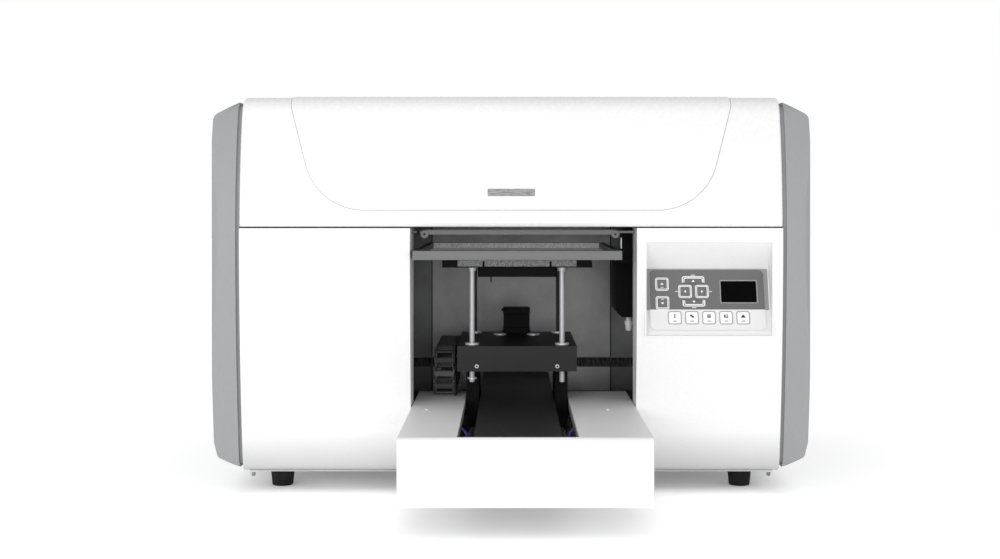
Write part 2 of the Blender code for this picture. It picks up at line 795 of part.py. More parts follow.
def make_bed_housing():
    """White box that stands out at the front: front plate, slotted deck and sides."""
    housing = plate(housing_view(0.0), HOUSING_LEFT, HOUSING_RIGHT, "X")
    cut(housing, plate(housing_view(SHEET), HOUSING_LEFT + SHEET, HOUSING_RIGHT - SHEET, "X"))
    slot_left = BED_CENTRE - SLOT_WIDTH / 2
    slot_right = BED_CENTRE + SLOT_WIDTH / 2
    top = DECK_HEIGHT + 0.010
    slot_low = (slot_left, HOUSING_FRONT + 0.006, DECK_HEIGHT - 0.010)
    cut(housing, box(slot_low, (slot_right, DECK_REAR + 0.010, top)))
    tray_left = CHAIN_LEFT - 0.003
    tray_right = CHAIN_LEFT + CHAIN_WIDTH + 0.003
    tray_back = CHAIN_Y + CHAIN_LENGTH + 0.006
    tray_low = (tray_left, DECK_REAR - 0.005, DECK_HEIGHT - 0.0019)
    join(housing, box(tray_low, (tray_right, tray_back, DECK_HEIGHT)))
    make_part("bed_housing", housing, white_enamel)


def make_rail_bed():
    """Hat-shaped bed plate between the shafts, with their end blocks and the belt's front shoe."""
    half = RAIL_BED_WIDTH / 2
    flange = SLOT_WIDTH / 2 - 0.0022
    thick = RAIL_BED_SHEET
    low = RAIL_BED_BASE
    right_half = [
        (flange, low),
        (flange, low + thick),
        (half, low + thick),
        (half, RAIL_BED_TOP),
    ]
    under = [(half - thick, RAIL_BED_TOP - thick), (half - thick, low)]
    outline = [(BED_CENTRE + x, z) for x, z in right_half]
    outline += [(BED_CENTRE - x, z) for x, z in reversed(right_half)]
    outline += [(BED_CENTRE - x, z) for x, z in reversed(under)]
    outline += [(BED_CENTRE + x, z) for x, z in under]
    front = HOUSING_FRONT + SHEET + 0.006
    back = BACK_WALL_Y - 0.006
    bed = plate(outline, front, back, "Y")
    for y in (front, back - 0.016):
        for side in (-1, 1):
            centre = BED_CENTRE + side * SHAFT_SPACING / 2
            block = box((centre - 0.010, y, low + 0.001), (centre + 0.009, y + 0.016, SHAFT_HEIGHT + 0.009))
            join(bed, block)
    shoe_x = BED_CENTRE - SHAFT_SPACING / 2
    shoe_place = (0.0, belt_front(), BELT_HEIGHT)
    join(bed, cylinder(PULLEY_RADIUS, shoe_x - 0.003, shoe_x + 0.012, shoe_place, "X", 24))
    hole_place = (0.0, belt_back(), BELT_HEIGHT)
    cut(bed, cylinder(0.005, shoe_x + 0.004, shoe_x + 0.020, hole_place, "X", 24))
    make_part("rail_bed", bed, black_anodised)


def belt_front():
    return HOUSING_FRONT + 0.040


def belt_back():
    return BACK_WALL_Y - 0.046


def make_shafts():
    """The two round shafts that the bed slides on."""
    front = HOUSING_FRONT + SHEET + 0.022 + GAP
    back = BACK_WALL_Y - 0.022 - GAP
    for end, side in (("left", -1), ("right", 1)):
        place = (BED_CENTRE + side * SHAFT_SPACING / 2, 0.0, SHAFT_HEIGHT)
        make_part(f"bed_shaft_{end}", cylinder(SHAFT_RADIUS, front, back, place, "Y", 24), bright_steel)


def belt_loop(start, end, height, radius):
    """Stadium outline round two pulleys of equal radius, at one height."""
    outline = []
    for centre, first in ((end, -90), (start, 90)):
        for step in range(13):
            angle = math.radians(first + 180 * step / 12)
            outline.append((centre + radius * math.cos(angle), height + radius * math.sin(angle)))
    return outline


def belt(start, end, height, low, high, axis):
    inner = PULLEY_RADIUS + GAP
    loop = plate(belt_loop(start, end, height, inner + BELT_THICKNESS), low, high, axis)
    return cut(loop, plate(belt_loop(start, end, height, inner), low - 0.001, high + 0.001, axis))


def make_bed_drive(pulley_carrier):
    """Belt under the left shaft, its motor inside the rail bed and its pulley."""
    centre = BED_CENTRE - SHAFT_SPACING / 2
    low = centre - BELT_WIDTH / 2
    loop = belt(belt_front(), belt_back(), BELT_HEIGHT, low, low + BELT_WIDTH, "X")
    make_part("bed_belt", loop, black_rubber)
    web = BED_CENTRE - RAIL_BED_WIDTH / 2 + RAIL_BED_SHEET
    half = MOTOR_SIZE / 2
    y = belt_back()
    motor = box((web + GAP, y - half, BELT_HEIGHT - half), (web + 0.035, y + half, BELT_HEIGHT + half))
    make_part("bed_motor", motor, black_anodised)
    axis_place = (0.0, y, BELT_HEIGHT)
    pulley = cylinder(PULLEY_RADIUS, low, low + BELT_WIDTH, axis_place, "X", 24)
    join(pulley, cylinder(0.0025, low + 0.001, web - GAP, axis_place, "X", 16))
    make_part("bed_drive_pulley", pulley, bright_steel, pulley_carrier)


def make_bearings(bed_carrier):
    """Slide bearings between the lift block and the shafts."""
    half = BEARING_WIDTH / 2
    middle = BLOCK_FRONT + BLOCK_DEPTH / 2
    front = middle - BEARING_LENGTH / 2
    back = front + BEARING_LENGTH
    for end, side in (("left", -1), ("right", 1)):
        x = BED_CENTRE + side * SHAFT_SPACING / 2
        low = SHAFT_HEIGHT - BEARING_DROP
        body = box((x - half, front, low), (x + half, back, BLOCK_BOTTOM - GAP))
        place = (x, 0.0, SHAFT_HEIGHT)
        bore = cylinder(SHAFT_RADIUS + RUNNING_CLEARANCE, front - 0.01, back + 0.01, place, "Y", 24)
        make_part(f"slide_bearing_{end}", cut(body, bore), grey_anodised, bed_carrier)


def lift_columns():
    """(side name, x) of the rods and screws."""
    return [("left", BED_CENTRE - ROD_SPACING / 2), ("right", BED_CENTRE + ROD_SPACING / 2)]


def make_lift_block(bed_carrier):
    """Black block that carries the lift, with four flanged bushes."""
    left = BED_CENTRE - BLOCK_WIDTH / 2
    right = left + BLOCK_WIDTH
    block = box((left, BLOCK_FRONT, BLOCK_BOTTOM), (right, BLOCK_FRONT + BLOCK_DEPTH, BLOCK_TOP))
    flange_top = BLOCK_TOP + FLANGE_THICKNESS
    for y, radius in ((BLOCK_FRONT + ROD_SETBACK, ROD_RADIUS), (BLOCK_FRONT + SCREW_SETBACK, SCREW_RADIUS)):
        for _, x in lift_columns():
            place = (x, y, 0.0)
            bush = cylinder(FLANGE_RADIUS, BLOCK_TOP - 0.001, flange_top, place, "Z", 24)
            bore = radius + RUNNING_CLEARANCE
            hole = cylinder(bore, BLOCK_BOTTOM - 0.01, BLOCK_TOP + 0.01, place, "Z", 24)
            cut(join(block, bush), hole)
    make_part("lift_block", block, black_anodised, bed_carrier)


def make_lift_motor(bed_carrier):
    half = MOTOR_SIZE / 2
    back = BLOCK_FRONT + BLOCK_DEPTH - 0.001
    low = (BED_CENTRE - half, back - MOTOR_SIZE, BLOCK_TOP + GAP)
    high = (BED_CENTRE + half, back, BLOCK_TOP + GAP + MOTOR_LENGTH)
    make_part("lift_motor", box(low, high), black_anodised, bed_carrier)


def make_rods(lift_carrier):
    """Two guide rods in front, the left one with a stop disc, and two lift screws behind."""
    top = FRAME_BOTTOM - GAP
    front = BLOCK_FRONT + ROD_SETBACK
    back = BLOCK_FRONT + SCREW_SETBACK
    for end, x in lift_columns():
        profile = [(0.0, top), (COLLAR_RADIUS, top)]
        profile += [(COLLAR_RADIUS, top - COLLAR_HEIGHT), (ROD_RADIUS, top - COLLAR_HEIGHT)]
        if end == "left":
            stop = ROD_BOTTOM + STOP_HEIGHT
            under = stop - STOP_THICKNESS
            profile += [(ROD_RADIUS, stop), (COLLAR_RADIUS, stop)]
            profile += [(COLLAR_RADIUS, under), (ROD_RADIUS, under)]
        profile += [(ROD_RADIUS, ROD_BOTTOM), (0.0, ROD_BOTTOM)]
        make_part(f"guide_rod_{end}", turned(profile, (x, front)), bright_steel, lift_carrier)
        profile = [(0.0, top), (SCREW_RADIUS, top), (SCREW_RADIUS, ROD_BOTTOM), (0.0, ROD_BOTTOM)]
        make_part(f"lift_screw_{end}", turned(profile, (x, back)), bright_steel, lift_carrier)


def make_lift_frame(lift_carrier):
    """Frame under the table: two cross bars, a middle plate and the low tie behind the rods."""
    left = BED_CENTRE - FRAME_WIDTH / 2
    right = BED_CENTRE + FRAME_WIDTH / 2
    back = BLOCK_FRONT + BLOCK_DEPTH
    bar = FRAME_BAR_WIDTH
    frame = box((left, BLOCK_FRONT, FRAME_BOTTOM), (right, BLOCK_FRONT + bar, FRAME_TOP))
    join(frame, box((left, back - bar, FRAME_BOTTOM), (right, back, FRAME_TOP)))
    plate_low = (BED_CENTRE - FRAME_PLATE_HALF, BLOCK_FRONT + bar - 0.006, FRAME_BOTTOM + 0.004)
    join(frame, box(plate_low, (BED_CENTRE + FRAME_PLATE_HALF, back - bar + 0.006, FRAME_TOP)))
    reach = ROD_SPACING / 2 - COLLAR_RADIUS - 0.0014
    tie_front = BLOCK_FRONT + ROD_SETBACK + ROD_RADIUS + 0.004
    tie_low = (BED_CENTRE - reach, tie_front, FRAME_BOTTOM - LOW_TIE_DROP)
    join(frame, box(tie_low, (BED_CENTRE + reach, tie_front + 0.012, FRAME_BOTTOM + 0.006)))
    make_part("lift_frame", frame, black_anodised, lift_carrier)


def make_print_table(lift_carrier):
    """Shallow tray that the work lies in."""
    right = TABLE_LEFT + TABLE_WIDTH
    back = TABLE_FRONT + TABLE_DEPTH
    low = TABLE_TOP - TABLE_THICKNESS
    table = box((TABLE_LEFT, TABLE_FRONT, low), (right, back, TABLE_TOP))
    inner_low = (TABLE_LEFT + TABLE_RIM, TABLE_FRONT + TABLE_RIM, low + TABLE_FLOOR)
    inner_high = (right - TABLE_RIM, back - TABLE_RIM, TABLE_TOP + 0.01)
    make_part("print_table", cut(table, box(inner_low, inner_high)), grey_anodised, lift_carrier)


# --- Print head --------------------------------------------------------------


def make_cross_beam():
    """Beam over the bed on two legs, with the carriage's guide rib and the belt's left shoe."""
    half = COVER_HALF - BEAM_END_GAP
    low = BEAM_HEIGHT
    back = BEAM_FRONT + BEAM_SECTION
    beam = box((-half, BEAM_FRONT, low), (half, back, low + BEAM_SECTION))
    rib_low = low + RIB_RISE
    rib_front = BEAM_FRONT - RIB_REACH
    rib_high = (half - 0.02, BEAM_FRONT + 0.001, rib_low + RIB_HEIGHT)
    join(beam, box((-half + 0.02, rib_front, rib_low), rib_high))
    leg_front = BEAM_FRONT + 0.004
    leg_low = CHAMBER_TOP + GAP
    for x in (CHAMBER_LEFT - 0.030, CHAMBER_RIGHT + 0.010):
        join(beam, box((x, leg_front, leg_low), (x + 0.020, back - 0.004, low + 0.001)))
    for x in (CHAMBER_LEFT - 0.030, CHAMBER_RIGHT - 0.010):
        join(beam, box((x, leg_front, leg_low), (x + 0.040, back - 0.004, CHAMBER_TOP + 0.006)))
    place = (-half + 0.020, BEAM_FRONT + BEAM_SECTION / 2, 0.0)
    top = low + BEAM_SECTION
    join(beam, cylinder(PULLEY_RADIUS, top - 0.001, top + 0.003 + BELT_WIDTH, place, "Z", 24))
    make_part("cross_beam", beam, grey_anodised)


def make_head_drive(pulley_carrier):
    """Belt on top of the beam, its motor behind the beam's end and its pulley."""
    half = COVER_HALF - BEAM_END_GAP
    y = BEAM_FRONT + BEAM_SECTION / 2
    low = BEAM_HEIGHT + BEAM_SECTION + 0.002
    end = half - HEAD_MOTOR_SETBACK
    make_part("head_belt", belt(-half + 0.020, end, y, low, low + BELT_WIDTH, "Z"), black_rubber)
    motor_low = low + BELT_WIDTH + 0.004
    reach = MOTOR_SIZE / 2
    motor = box((end - reach, y - reach, motor_low), (end + reach, y + reach, motor_low + MOTOR_LENGTH))
    bracket_low = (end - reach + 0.002, y + 0.012, low - 0.002 + GAP)
    bracket = box(bracket_low, (end + reach - 0.002, y + reach, motor_low + 0.001))
    make_part("head_motor", join(motor, bracket), black_anodised)
    pulley = cylinder(PULLEY_RADIUS, low, low + BELT_WIDTH, (end, y, 0.0), "Z", 24)
    join(pulley, cylinder(0.0025, low + 0.001, motor_low - GAP, (end, y, 0.0), "Z", 16))
    make_part("head_drive_pulley", pulley, bright_steel, pulley_carrier)


def make_head(head_carrier):
    """Carriage on the beam's rib, with the print head and the curing lamp."""
    left = HEAD_PARK - CARRIAGE_WIDTH / 2
    right = HEAD_PARK + CARRIAGE_WIDTH / 2
    back = BEAM_FRONT - GAP - 0.001
    low = BEAM_HEIGHT - 0.010
    carriage = box((left, back - 0.020, low), (right, back, BEAM_HEIGHT + 0.075))
    clearance = RUNNING_CLEARANCE
    rib = box(
        (left - 0.01, BEAM_FRONT - RIB_REACH - clearance, BEAM_HEIGHT + RIB_RISE - clearance),
        (right + 0.01, BEAM_FRONT + 0.01, BEAM_HEIGHT + RIB_RISE + RIB_HEIGHT + clearance),
    )
    cut(carriage, rib)
    make_part("head_carriage", carriage, black_anodised, head_carrier)
    front = back - 0.020 - GAP
    half = HEAD_WIDTH / 2
    body_low = (HEAD_PARK - half, HEAD_Y - 0.028, HEAD_BOTTOM + 0.012)
    body = box(body_low, (HEAD_PARK + half, front, HEAD_BOTTOM + HEAD_HEIGHT))
    nozzle_low = (HEAD_PARK - half + 0.006, HEAD_Y - 0.020, HEAD_BOTTOM)
    nozzle = box(nozzle_low, (HEAD_PARK + half - 0.006, HEAD_Y + 0.015, HEAD_BOTTOM + 0.013))
    make_part("print_head", join(body, nozzle), black_plastic, head_carrier)
    lamp_right = HEAD_PARK - half - 0.001
    lamp_low = (lamp_right - LAMP_WIDTH, HEAD_Y - 0.022, HEAD_BOTTOM + 0.004)
    lamp = box(lamp_low, (lamp_right, front, HEAD_BOTTOM + LAMP_HEIGHT))
    make_part("curing_lamp", lamp, grey_anodised, head_carrier)


# --- Drag chain --------------------------------------------------------------


def chain_run(front, back, bottom):
    """Straight ladder of chain links between two places, with a window in each link."""
    right = CHAIN_LEFT + CHAIN_WIDTH
    run = box((CHAIN_LEFT, front, bottom), (right, back, bottom + CHAIN_LINK_HEIGHT))
    links = int((back - front + 0.001) / CHAIN_PITCH)
    for link in range(links):
        y = front + CHAIN_PITCH * (link + 0.5)
        window = (CHAIN_LEFT + 0.0045, y - 0.0048, bottom - 0.01)
        cut(run, box(window, (right - 0.0045, y + 0.0048, bottom + CHAIN_LINK_HEIGHT + 0.01)))
    return run


def arc_band(outer, inner, first, last):
    """Side view of a ring's sector about the chain's bend."""
    outline = []
    for radius, start, end in ((outer, first, last), (inner, last, first)):
        for step in range(17):
            angle = math.radians(start + (end - start) * step / 16)
            outline.append((CHAIN_Y + radius * math.cos(angle), CHAIN_Z + radius * math.sin(angle)))
    return outline


def make_chain(bed_carrier, bend_carrier, link_carrier):
    """Drag chain: lower run in its tray, bend at the front, upper run to the lift block."""
    inner = CHAIN_BEND_RADIUS - CHAIN_LINK_HEIGHT
    right = CHAIN_LEFT + CHAIN_WIDTH
    bend = plate(arc_band(CHAIN_BEND_RADIUS, inner, 90, 270), CHAIN_LEFT, right, "X")
    for link in range(5):
        angle = math.radians(108 + 36 * link)
        away = CHAIN_BEND_RADIUS - CHAIN_LINK_HEIGHT / 2
        window = box((CHAIN_LEFT + 0.0045, -0.0042, -0.014), (right - 0.0045, 0.0042, 0.014))
        middle = CHAIN_LEFT + CHAIN_WIDTH / 2
        centre = Vector((middle, CHAIN_Y + away * math.cos(angle), CHAIN_Z + away * math.sin(angle)))
        window.matrix_world = Matrix.Translation(centre) @ Matrix.Rotation(angle - math.pi / 2, 4, "X")
        cut(bend, window)
    make_part("chain_bend", bend, black_plastic, bend_carrier)
    low = CHAIN_Z - CHAIN_BEND_RADIUS
    first = CHAIN_Y + GAP
    make_part("chain_floor_link", chain_run(first, first + CHAIN_PITCH, low), black_plastic, link_carrier)
    start = first + CHAIN_PITCH + GAP
    make_part("chain_lower_run", chain_run(start, start + CHAIN_LENGTH - CHAIN_PITCH, low), black_plastic)
    high = CHAIN_Z + CHAIN_BEND_RADIUS - CHAIN_LINK_HEIGHT
    upper = chain_run(first, first + CHAIN_LENGTH, high)
    make_part("chain_upper_run", upper, black_plastic, bed_carrier)


# --- Control panel -----------------------------------------------------------

PANEL_TILT = math.atan2(
    PANEL_FOLD_DEPTH - PANEL_LIP_DEPTH - lower_setback(PANEL_LIP_HEIGHT),
    PANEL_FOLD_HEIGHT - PANEL_LIP_HEIGHT,
)


def panel_matrix():
    """Frame on the sloped panel: X across, Y up the slope, Z out of it, from its top left."""
    down = Vector((0.0, -math.sin(PANEL_TILT), -math.cos(PANEL_TILT)))
    out = Vector((0.0, -math.cos(PANEL_TILT), math.sin(PANEL_TILT)))
    turn = Matrix((Vector((1.0, 0.0, 0.0)), -down, out)).transposed().to_4x4()
    corner = Vector((PANEL_LEFT, FRONT + PANEL_FOLD_DEPTH, PANEL_FOLD_HEIGHT))
    return Matrix.Translation(corner) @ turn


def panel_plate(x, down, size, low, high, radius):
    """Rounded plate on the panel, centred at x across and down the slope."""
    half_width = size[0] / 2
    half_height = size[1] / 2
    corners = [
        (x - half_width, -down - half_height, radius),
        (x + half_width, -down - half_height, radius),
        (x + half_width, -down + half_height, radius),
        (x - half_width, -down + half_height, radius),
    ]
    solid = plate(rounded(corners, 4), low, high, "Z")
    solid.matrix_world = panel_matrix() @ solid.matrix_world
    return solid


def key_places():
    """Every key's name, place across, place down the slope and size."""
    square = (KEY_SIZE, KEY_SIZE)
    keys = [
        ("key_table_up", 0.0245, 0.0240, square),
        ("key_table_down", 0.0245, 0.0516, square),
        ("key_left", 0.0572, 0.0348, square),
        ("key_right", 0.0813, 0.0348, square),
        ("key_up", 0.0693, 0.0182, KEY_WIDE),
        ("key_down", 0.0693, 0.0510, KEY_WIDE),
    ]
    for index, name in enumerate(("power", "feed", "clean", "light", "print")):
        keys.append((f"key_{name}", 0.0414 + 0.02425 * index, 0.0733, square))
    return keys


DISPLAY_PLACE = (0.1337, 0.0350)


def make_keypad():
    """Keypad plate with a pocket for each key and for the display window."""
    middle_x = PANEL_WIDTH / 2 - 0.0003
    middle_down = 0.0023 + KEYPAD_HEIGHT / 2
    size = (KEYPAD_WIDTH, KEYPAD_HEIGHT)
    keypad = panel_plate(middle_x, middle_down, size, GAP, GAP + KEYPAD_THICKNESS, 0.008)
    top = GAP + KEYPAD_THICKNESS
    for _, x, down, key in key_places():
        room = (key[0] + 0.0008, key[1] + 0.0008)
        floor = top + KEY_PROUD - KEY_THICKNESS - KEY_TRAVEL_ROOM
        cut(keypad, panel_plate(x, down, room, floor, top + 0.005, 0.0024))
    room = (DISPLAY_SIZE[0] + 0.0006, DISPLAY_SIZE[1] + 0.0006)
    cut(keypad, panel_plate(*DISPLAY_PLACE, room, top - 0.0015, top + 0.005, 0.0013))
    make_part("keypad_plate", keypad, grey_plastic)
    window = panel_plate(*DISPLAY_PLACE, DISPLAY_SIZE, top - 0.0015 + GAP, top - 0.0001, 0.001)
    make_part("display_window", window, black_glass)


def make_keys():
    """Eleven keys, each on its own carrier so that it can be pressed."""
    top = GAP + KEYPAD_THICKNESS + KEY_PROUD
    for name, x, down, size in key_places():
        place = panel_matrix() @ Vector((x, -down, top))
        key = panel_plate(x, down, size, top - KEY_THICKNESS, top, 0.002)
        make_part(name, key, white_plastic, carrier(f"{name}_travel", place))


# --- Mains inlet -------------------------------------------------------------


def make_inlet(switch_carrier):
    """Mains inlet with a socket below and a rocker switch above."""
    x, z = INLET_CENTRE
    width, height = INLET_SIZE
    flange_low = (x - width / 2, REAR_FACE + GAP, z - height / 2)
    body = box(flange_low, (x + width / 2, REAR_FACE + 0.002, z + height / 2))
    back = box(
        (x - width / 2 + 0.0035, REAR_FACE - 0.028, z - height / 2 + 0.0035),
        (x + width / 2 - 0.0035, REAR_FACE + 0.001, z + height / 2 - 0.0035),
    )
    join(body, back)
    cut(body, box((x - 0.013, REAR_FACE - 0.020, z - 0.024), (x + 0.013, REAR_FACE + 0.01, z - 0.006)))
    cut(body, box((x - 0.0125, REAR_FACE - 0.018, z + 0.002), (x + 0.0125, REAR_FACE + 0.01, z + 0.0235)))
    make_part("mains_inlet", body, black_plastic)
    pivot_y = REAR_FACE - 0.004
    middle = z + 0.01275
    corners = [
        (pivot_y - 0.007, middle - 0.004, 0.0),
        (pivot_y - 0.007, middle + 0.004, 0.0),
        (pivot_y + 0.0035, middle + 0.0092, 0.0),
        (pivot_y + 0.0020, middle, 0.0),
        (pivot_y + 0.0055, middle - 0.0092, 0.0),
    ]
    rocker = plate(rounded(corners), x - 0.0118, x + 0.0118, "X")
    make_part("rocker_switch", rocker, black_plastic, switch_carrier)


# --- The whole machine -------------------------------------------------------


def build():
    hood_hinge = carrier("hood_hinge", (0.0, HINGE_Y, HINGE_Z))
    bed_feed = carrier("bed_feed", (BED_CENTRE, BLOCK_FRONT, SHAFT_HEIGHT))
    bed_lift = carrier("bed_lift", (BED_CENTRE, BLOCK_FRONT + ROD_SETBACK, BLOCK_TOP), bed_feed)
    bend_roll = carrier("chain_bend_roll", (CHAIN_LEFT, CHAIN_Y, CHAIN_Z), bed_feed)
    link_roll = carrier("chain_link_roll", (CHAIN_LEFT, CHAIN_Y, DECK_HEIGHT))
    head_travel = carrier("head_travel", (HEAD_PARK, BEAM_FRONT, BEAM_HEIGHT))
    bed_pulley = carrier("bed_pulley_turn", (BED_CENTRE - SHAFT_SPACING / 2, belt_back(), BELT_HEIGHT))
    head_end = COVER_HALF - BEAM_END_GAP - HEAD_MOTOR_SETBACK
    head_pulley_place = (head_end, BEAM_FRONT + BEAM_SECTION / 2, BEAM_HEIGHT + BEAM_SECTION)
    head_pulley = carrier("head_pulley_turn", head_pulley_place)
    switch = carrier("switch_rock", (INLET_CENTRE[0], REAR_FACE - 0.004, INLET_CENTRE[1] + 0.01275))
    make_base_pan()
    make_feet()
    make_front_cover_left()
    make_front_cover_right()
    side_panel("side_panel_left", -1)
    side_panel("side_panel_right", 1)
    make_rear_cover()
    make_hinge_rod()
    make_hood(hood_hinge)
    make_chamber_walls()
    make_chamber_back_wall()
    make_capping_station()
    make_tie_bar()
    make_bed_housing()
    make_rail_bed()
    make_shafts()
    make_bed_drive(bed_pulley)
    make_bearings(bed_feed)
    make_lift_block(bed_feed)
    make_lift_motor(bed_feed)
    make_rods(bed_lift)
    make_lift_frame(bed_lift)
    make_print_table(bed_lift)
    make_cross_beam()
    make_head_drive(head_pulley)
    make_head(head_travel)
    make_chain(bed_feed, bend_roll, link_roll)
    make_keypad()
    make_keys()
    make_inlet(switch)


build()
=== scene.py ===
"""Flatbed UV printer: its finished surfaces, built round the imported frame, in metres, +Z up."""

import json
import math

import bmesh
import bpy
from mathutils import Matrix, Vector
from mathutils.geometry import delaunay_2d_cdt


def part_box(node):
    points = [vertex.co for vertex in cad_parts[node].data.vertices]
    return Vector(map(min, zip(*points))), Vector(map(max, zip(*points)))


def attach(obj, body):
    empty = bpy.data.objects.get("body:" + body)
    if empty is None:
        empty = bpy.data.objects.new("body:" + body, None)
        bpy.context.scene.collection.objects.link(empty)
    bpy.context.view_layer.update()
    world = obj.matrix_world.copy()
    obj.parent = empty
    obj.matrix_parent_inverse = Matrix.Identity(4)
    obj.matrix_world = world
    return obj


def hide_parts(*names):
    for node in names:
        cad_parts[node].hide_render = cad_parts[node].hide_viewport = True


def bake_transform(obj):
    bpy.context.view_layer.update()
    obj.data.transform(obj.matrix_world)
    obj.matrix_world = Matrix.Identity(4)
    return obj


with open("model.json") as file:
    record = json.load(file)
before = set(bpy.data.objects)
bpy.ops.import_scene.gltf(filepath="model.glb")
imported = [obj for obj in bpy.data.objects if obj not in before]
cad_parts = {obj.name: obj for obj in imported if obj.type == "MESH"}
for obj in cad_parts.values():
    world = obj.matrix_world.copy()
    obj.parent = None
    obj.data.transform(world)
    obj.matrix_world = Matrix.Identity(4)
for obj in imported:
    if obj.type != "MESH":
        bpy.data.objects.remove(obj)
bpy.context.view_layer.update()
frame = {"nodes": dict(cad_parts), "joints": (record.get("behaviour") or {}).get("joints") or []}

MM = 0.001
CAMERA_PLACE = (0.0, -2.281, 0.415)
CAMERA_LENS = 54.0
CAMERA_SHIFT = (-0.011, -0.0795)

# Covers: the same bow as the frame's hood, and the raised panel on it.
SEAM_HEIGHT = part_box("front_cover_left")[1].z
HOOD_BOW_RADIUS = 0.600
HOOD_CORNER_RADIUS = 0.035
HOOD_WALL = 2.2 * MM
HOOD_SIDE_ROUND = 4.0 * MM
PANEL_BOTTOM = 0.4015
PANEL_BOTTOM_HALF = 0.2725
PANEL_SHOULDER = 0.553
PANEL_TOP_HALF = 0.3135
PANEL_STEP = 1.3 * MM
PANEL_STEP_WIDTH = 3.6 * MM
NAMEPLATE_SIZE = (0.067, 0.0105)
NAMEPLATE_HEIGHT = 0.4255
EDGE = 0.8 * MM

# Deck: its slot, screws and hoses, and the two lugs of the tie bar above.
DECK_SLOT = (-66.9 * MM, 84.4 * MM)
DECK_SCREWS = (-118.0 * MM, 135.3 * MM)
DECK_SCREW_PLACE = -188.0 * MM
HOSE_BACK = -317.0 * MM
HOSE_REACH = 108.0 * MM
HOSE_TOP = 115.5 * MM
HOSE_FALL = 3.6 * MM
TIE_LUGS = (-123.8 * MM, 149.4 * MM)
TIE_LUG_HEIGHT = 366.0 * MM

# Studio: the floor's own even glow, and the weaker glow left under the machine, a painted shadow.
FLOOR_GLOW = 0.38
FLOOR_PAINTED_SHADOW_GLOW = 0.1


# --- Finishes ----------------------------------------------------------------


def linear(code):
    """An sRGB hex colour as linear RGBA."""
    parts = [int(code[i : i + 2], 16) / 255 for i in (0, 2, 4)]
    return (*[p / 12.92 if p <= 0.04045 else ((p + 0.055) / 1.055) ** 2.4 for p in parts], 1.0)


def add_node(tree, kind, inputs=None, **settings):
    """Adds a node with its settings; inputs maps a socket to a value or to the socket that feeds it."""
    made = tree.nodes.new(kind)
    for name, value in settings.items():
        setattr(made, name, value)
    for name, value in (inputs or {}).items():
        if isinstance(value, bpy.types.NodeSocket):
            tree.links.new(value, made.inputs[name])
        else:
            made.inputs[name].default_value = value
    return made


def grained(
    light, dark, grain, roughness, relief=0.0, metallic=0.0, stretch=(1.0, 1.0, 1.0), blotch=0.0, shine=0.5
):
    """A finish whose colour, gloss and relief vary with one grain; blotch adds slow patches of that size."""
    finish = bpy.data.materials.new("finish")
    finish.use_nodes = True
    tree = finish.node_tree
    shader = tree.nodes["Principled BSDF"]
    shader.inputs["Metallic"].default_value = metallic
    shader.inputs["Specular IOR Level"].default_value = shine
    place = add_node(tree, "ShaderNodeTexCoord").outputs["Object"]
    scaled = add_node(tree, "ShaderNodeMapping", {"Vector": place, "Scale": stretch}).outputs["Vector"]
    fine = add_node(
        tree, "ShaderNodeTexNoise", {"Vector": scaled, "Scale": 1.0 / grain, "Detail": 3.0}
    ).outputs["Fac"]
    shade = fine
    if blotch:
        slow = add_node(tree, "ShaderNodeTexNoise", {"Vector": place, "Scale": 1.0 / blotch, "Detail": 2.0})
        mixed = add_node(tree, "ShaderNodeMix", {0: 0.6, 2: fine, 3: slow.outputs["Fac"]}, data_type="FLOAT")
        shade = mixed.outputs[0]
    ramp = add_node(tree, "ShaderNodeValToRGB", {"Fac": shade})
    ramp.color_ramp.elements[0].position = 0.35
    ramp.color_ramp.elements[0].color = linear(dark)
    ramp.color_ramp.elements[1].position = 0.65
    ramp.color_ramp.elements[1].color = linear(light)
    tree.links.new(ramp.outputs["Color"], shader.inputs["Base Color"])
    gloss = add_node(
        tree, "ShaderNodeMapRange",
        {"Value": fine, "From Min": 0.3, "From Max": 0.7, "To Min": roughness[0], "To Max": roughness[1]}
    )
    tree.links.new(gloss.outputs["Result"], shader.inputs["Roughness"])
    if relief:
        bump = add_node(tree, "ShaderNodeBump", {"Height": fine, "Distance": relief, "Strength": 0.5})
        tree.links.new(bump.outputs["Normal"], shader.inputs["Normal"])
    return finish


def powder_coated_steel():
    # Baked white polyester powder on sheet steel: soft gloss with faint orange peel, about 2 mm across.
    return grained("EEEEEE", "EAEAEA", 2.0 * MM, (0.42, 0.50), 0.02 * MM, shine=0.3)


def greyed(finish, amount):
    """Mixes grey into a finish's colour, by the value that a socket gives: how painted shade is laid on."""
    tree = finish.node_tree
    shader = tree.nodes["Principled BSDF"]
    plain = shader.inputs["Base Color"].links[0].from_socket
    mixed = add_node(tree, "ShaderNodeMix", {0: amount, 6: plain, 7: linear("9C9C9C")}, data_type="RGBA")
    tree.links.new(mixed.outputs[2], shader.inputs["Base Color"])


def dusted_powder_coat():
    # The same white powder coat on the front covers, greyer towards the foot: painted shade where the covers
    # near the floor.
    finish = grained("EEEEEE", "EAEAEA", 2.0 * MM, (0.42, 0.50), 0.02 * MM, shine=0.3)
    tree = finish.node_tree
    place = add_node(tree, "ShaderNodeTexCoord").outputs["Object"]
    height = add_node(tree, "ShaderNodeSeparateXYZ", {"Vector": place}).outputs["Z"]
    # Painted shade: grey mixed in from 85 mm down to 20 mm above the floor.
    reach = {"From Min": 85 * MM, "From Max": 20 * MM, "To Min": 0.0, "To Max": 0.7}
    painted_shade = add_node(tree, "ShaderNodeMapRange", {"Value": height, **reach})
    greyed(finish, painted_shade.outputs["Result"])
    return finish


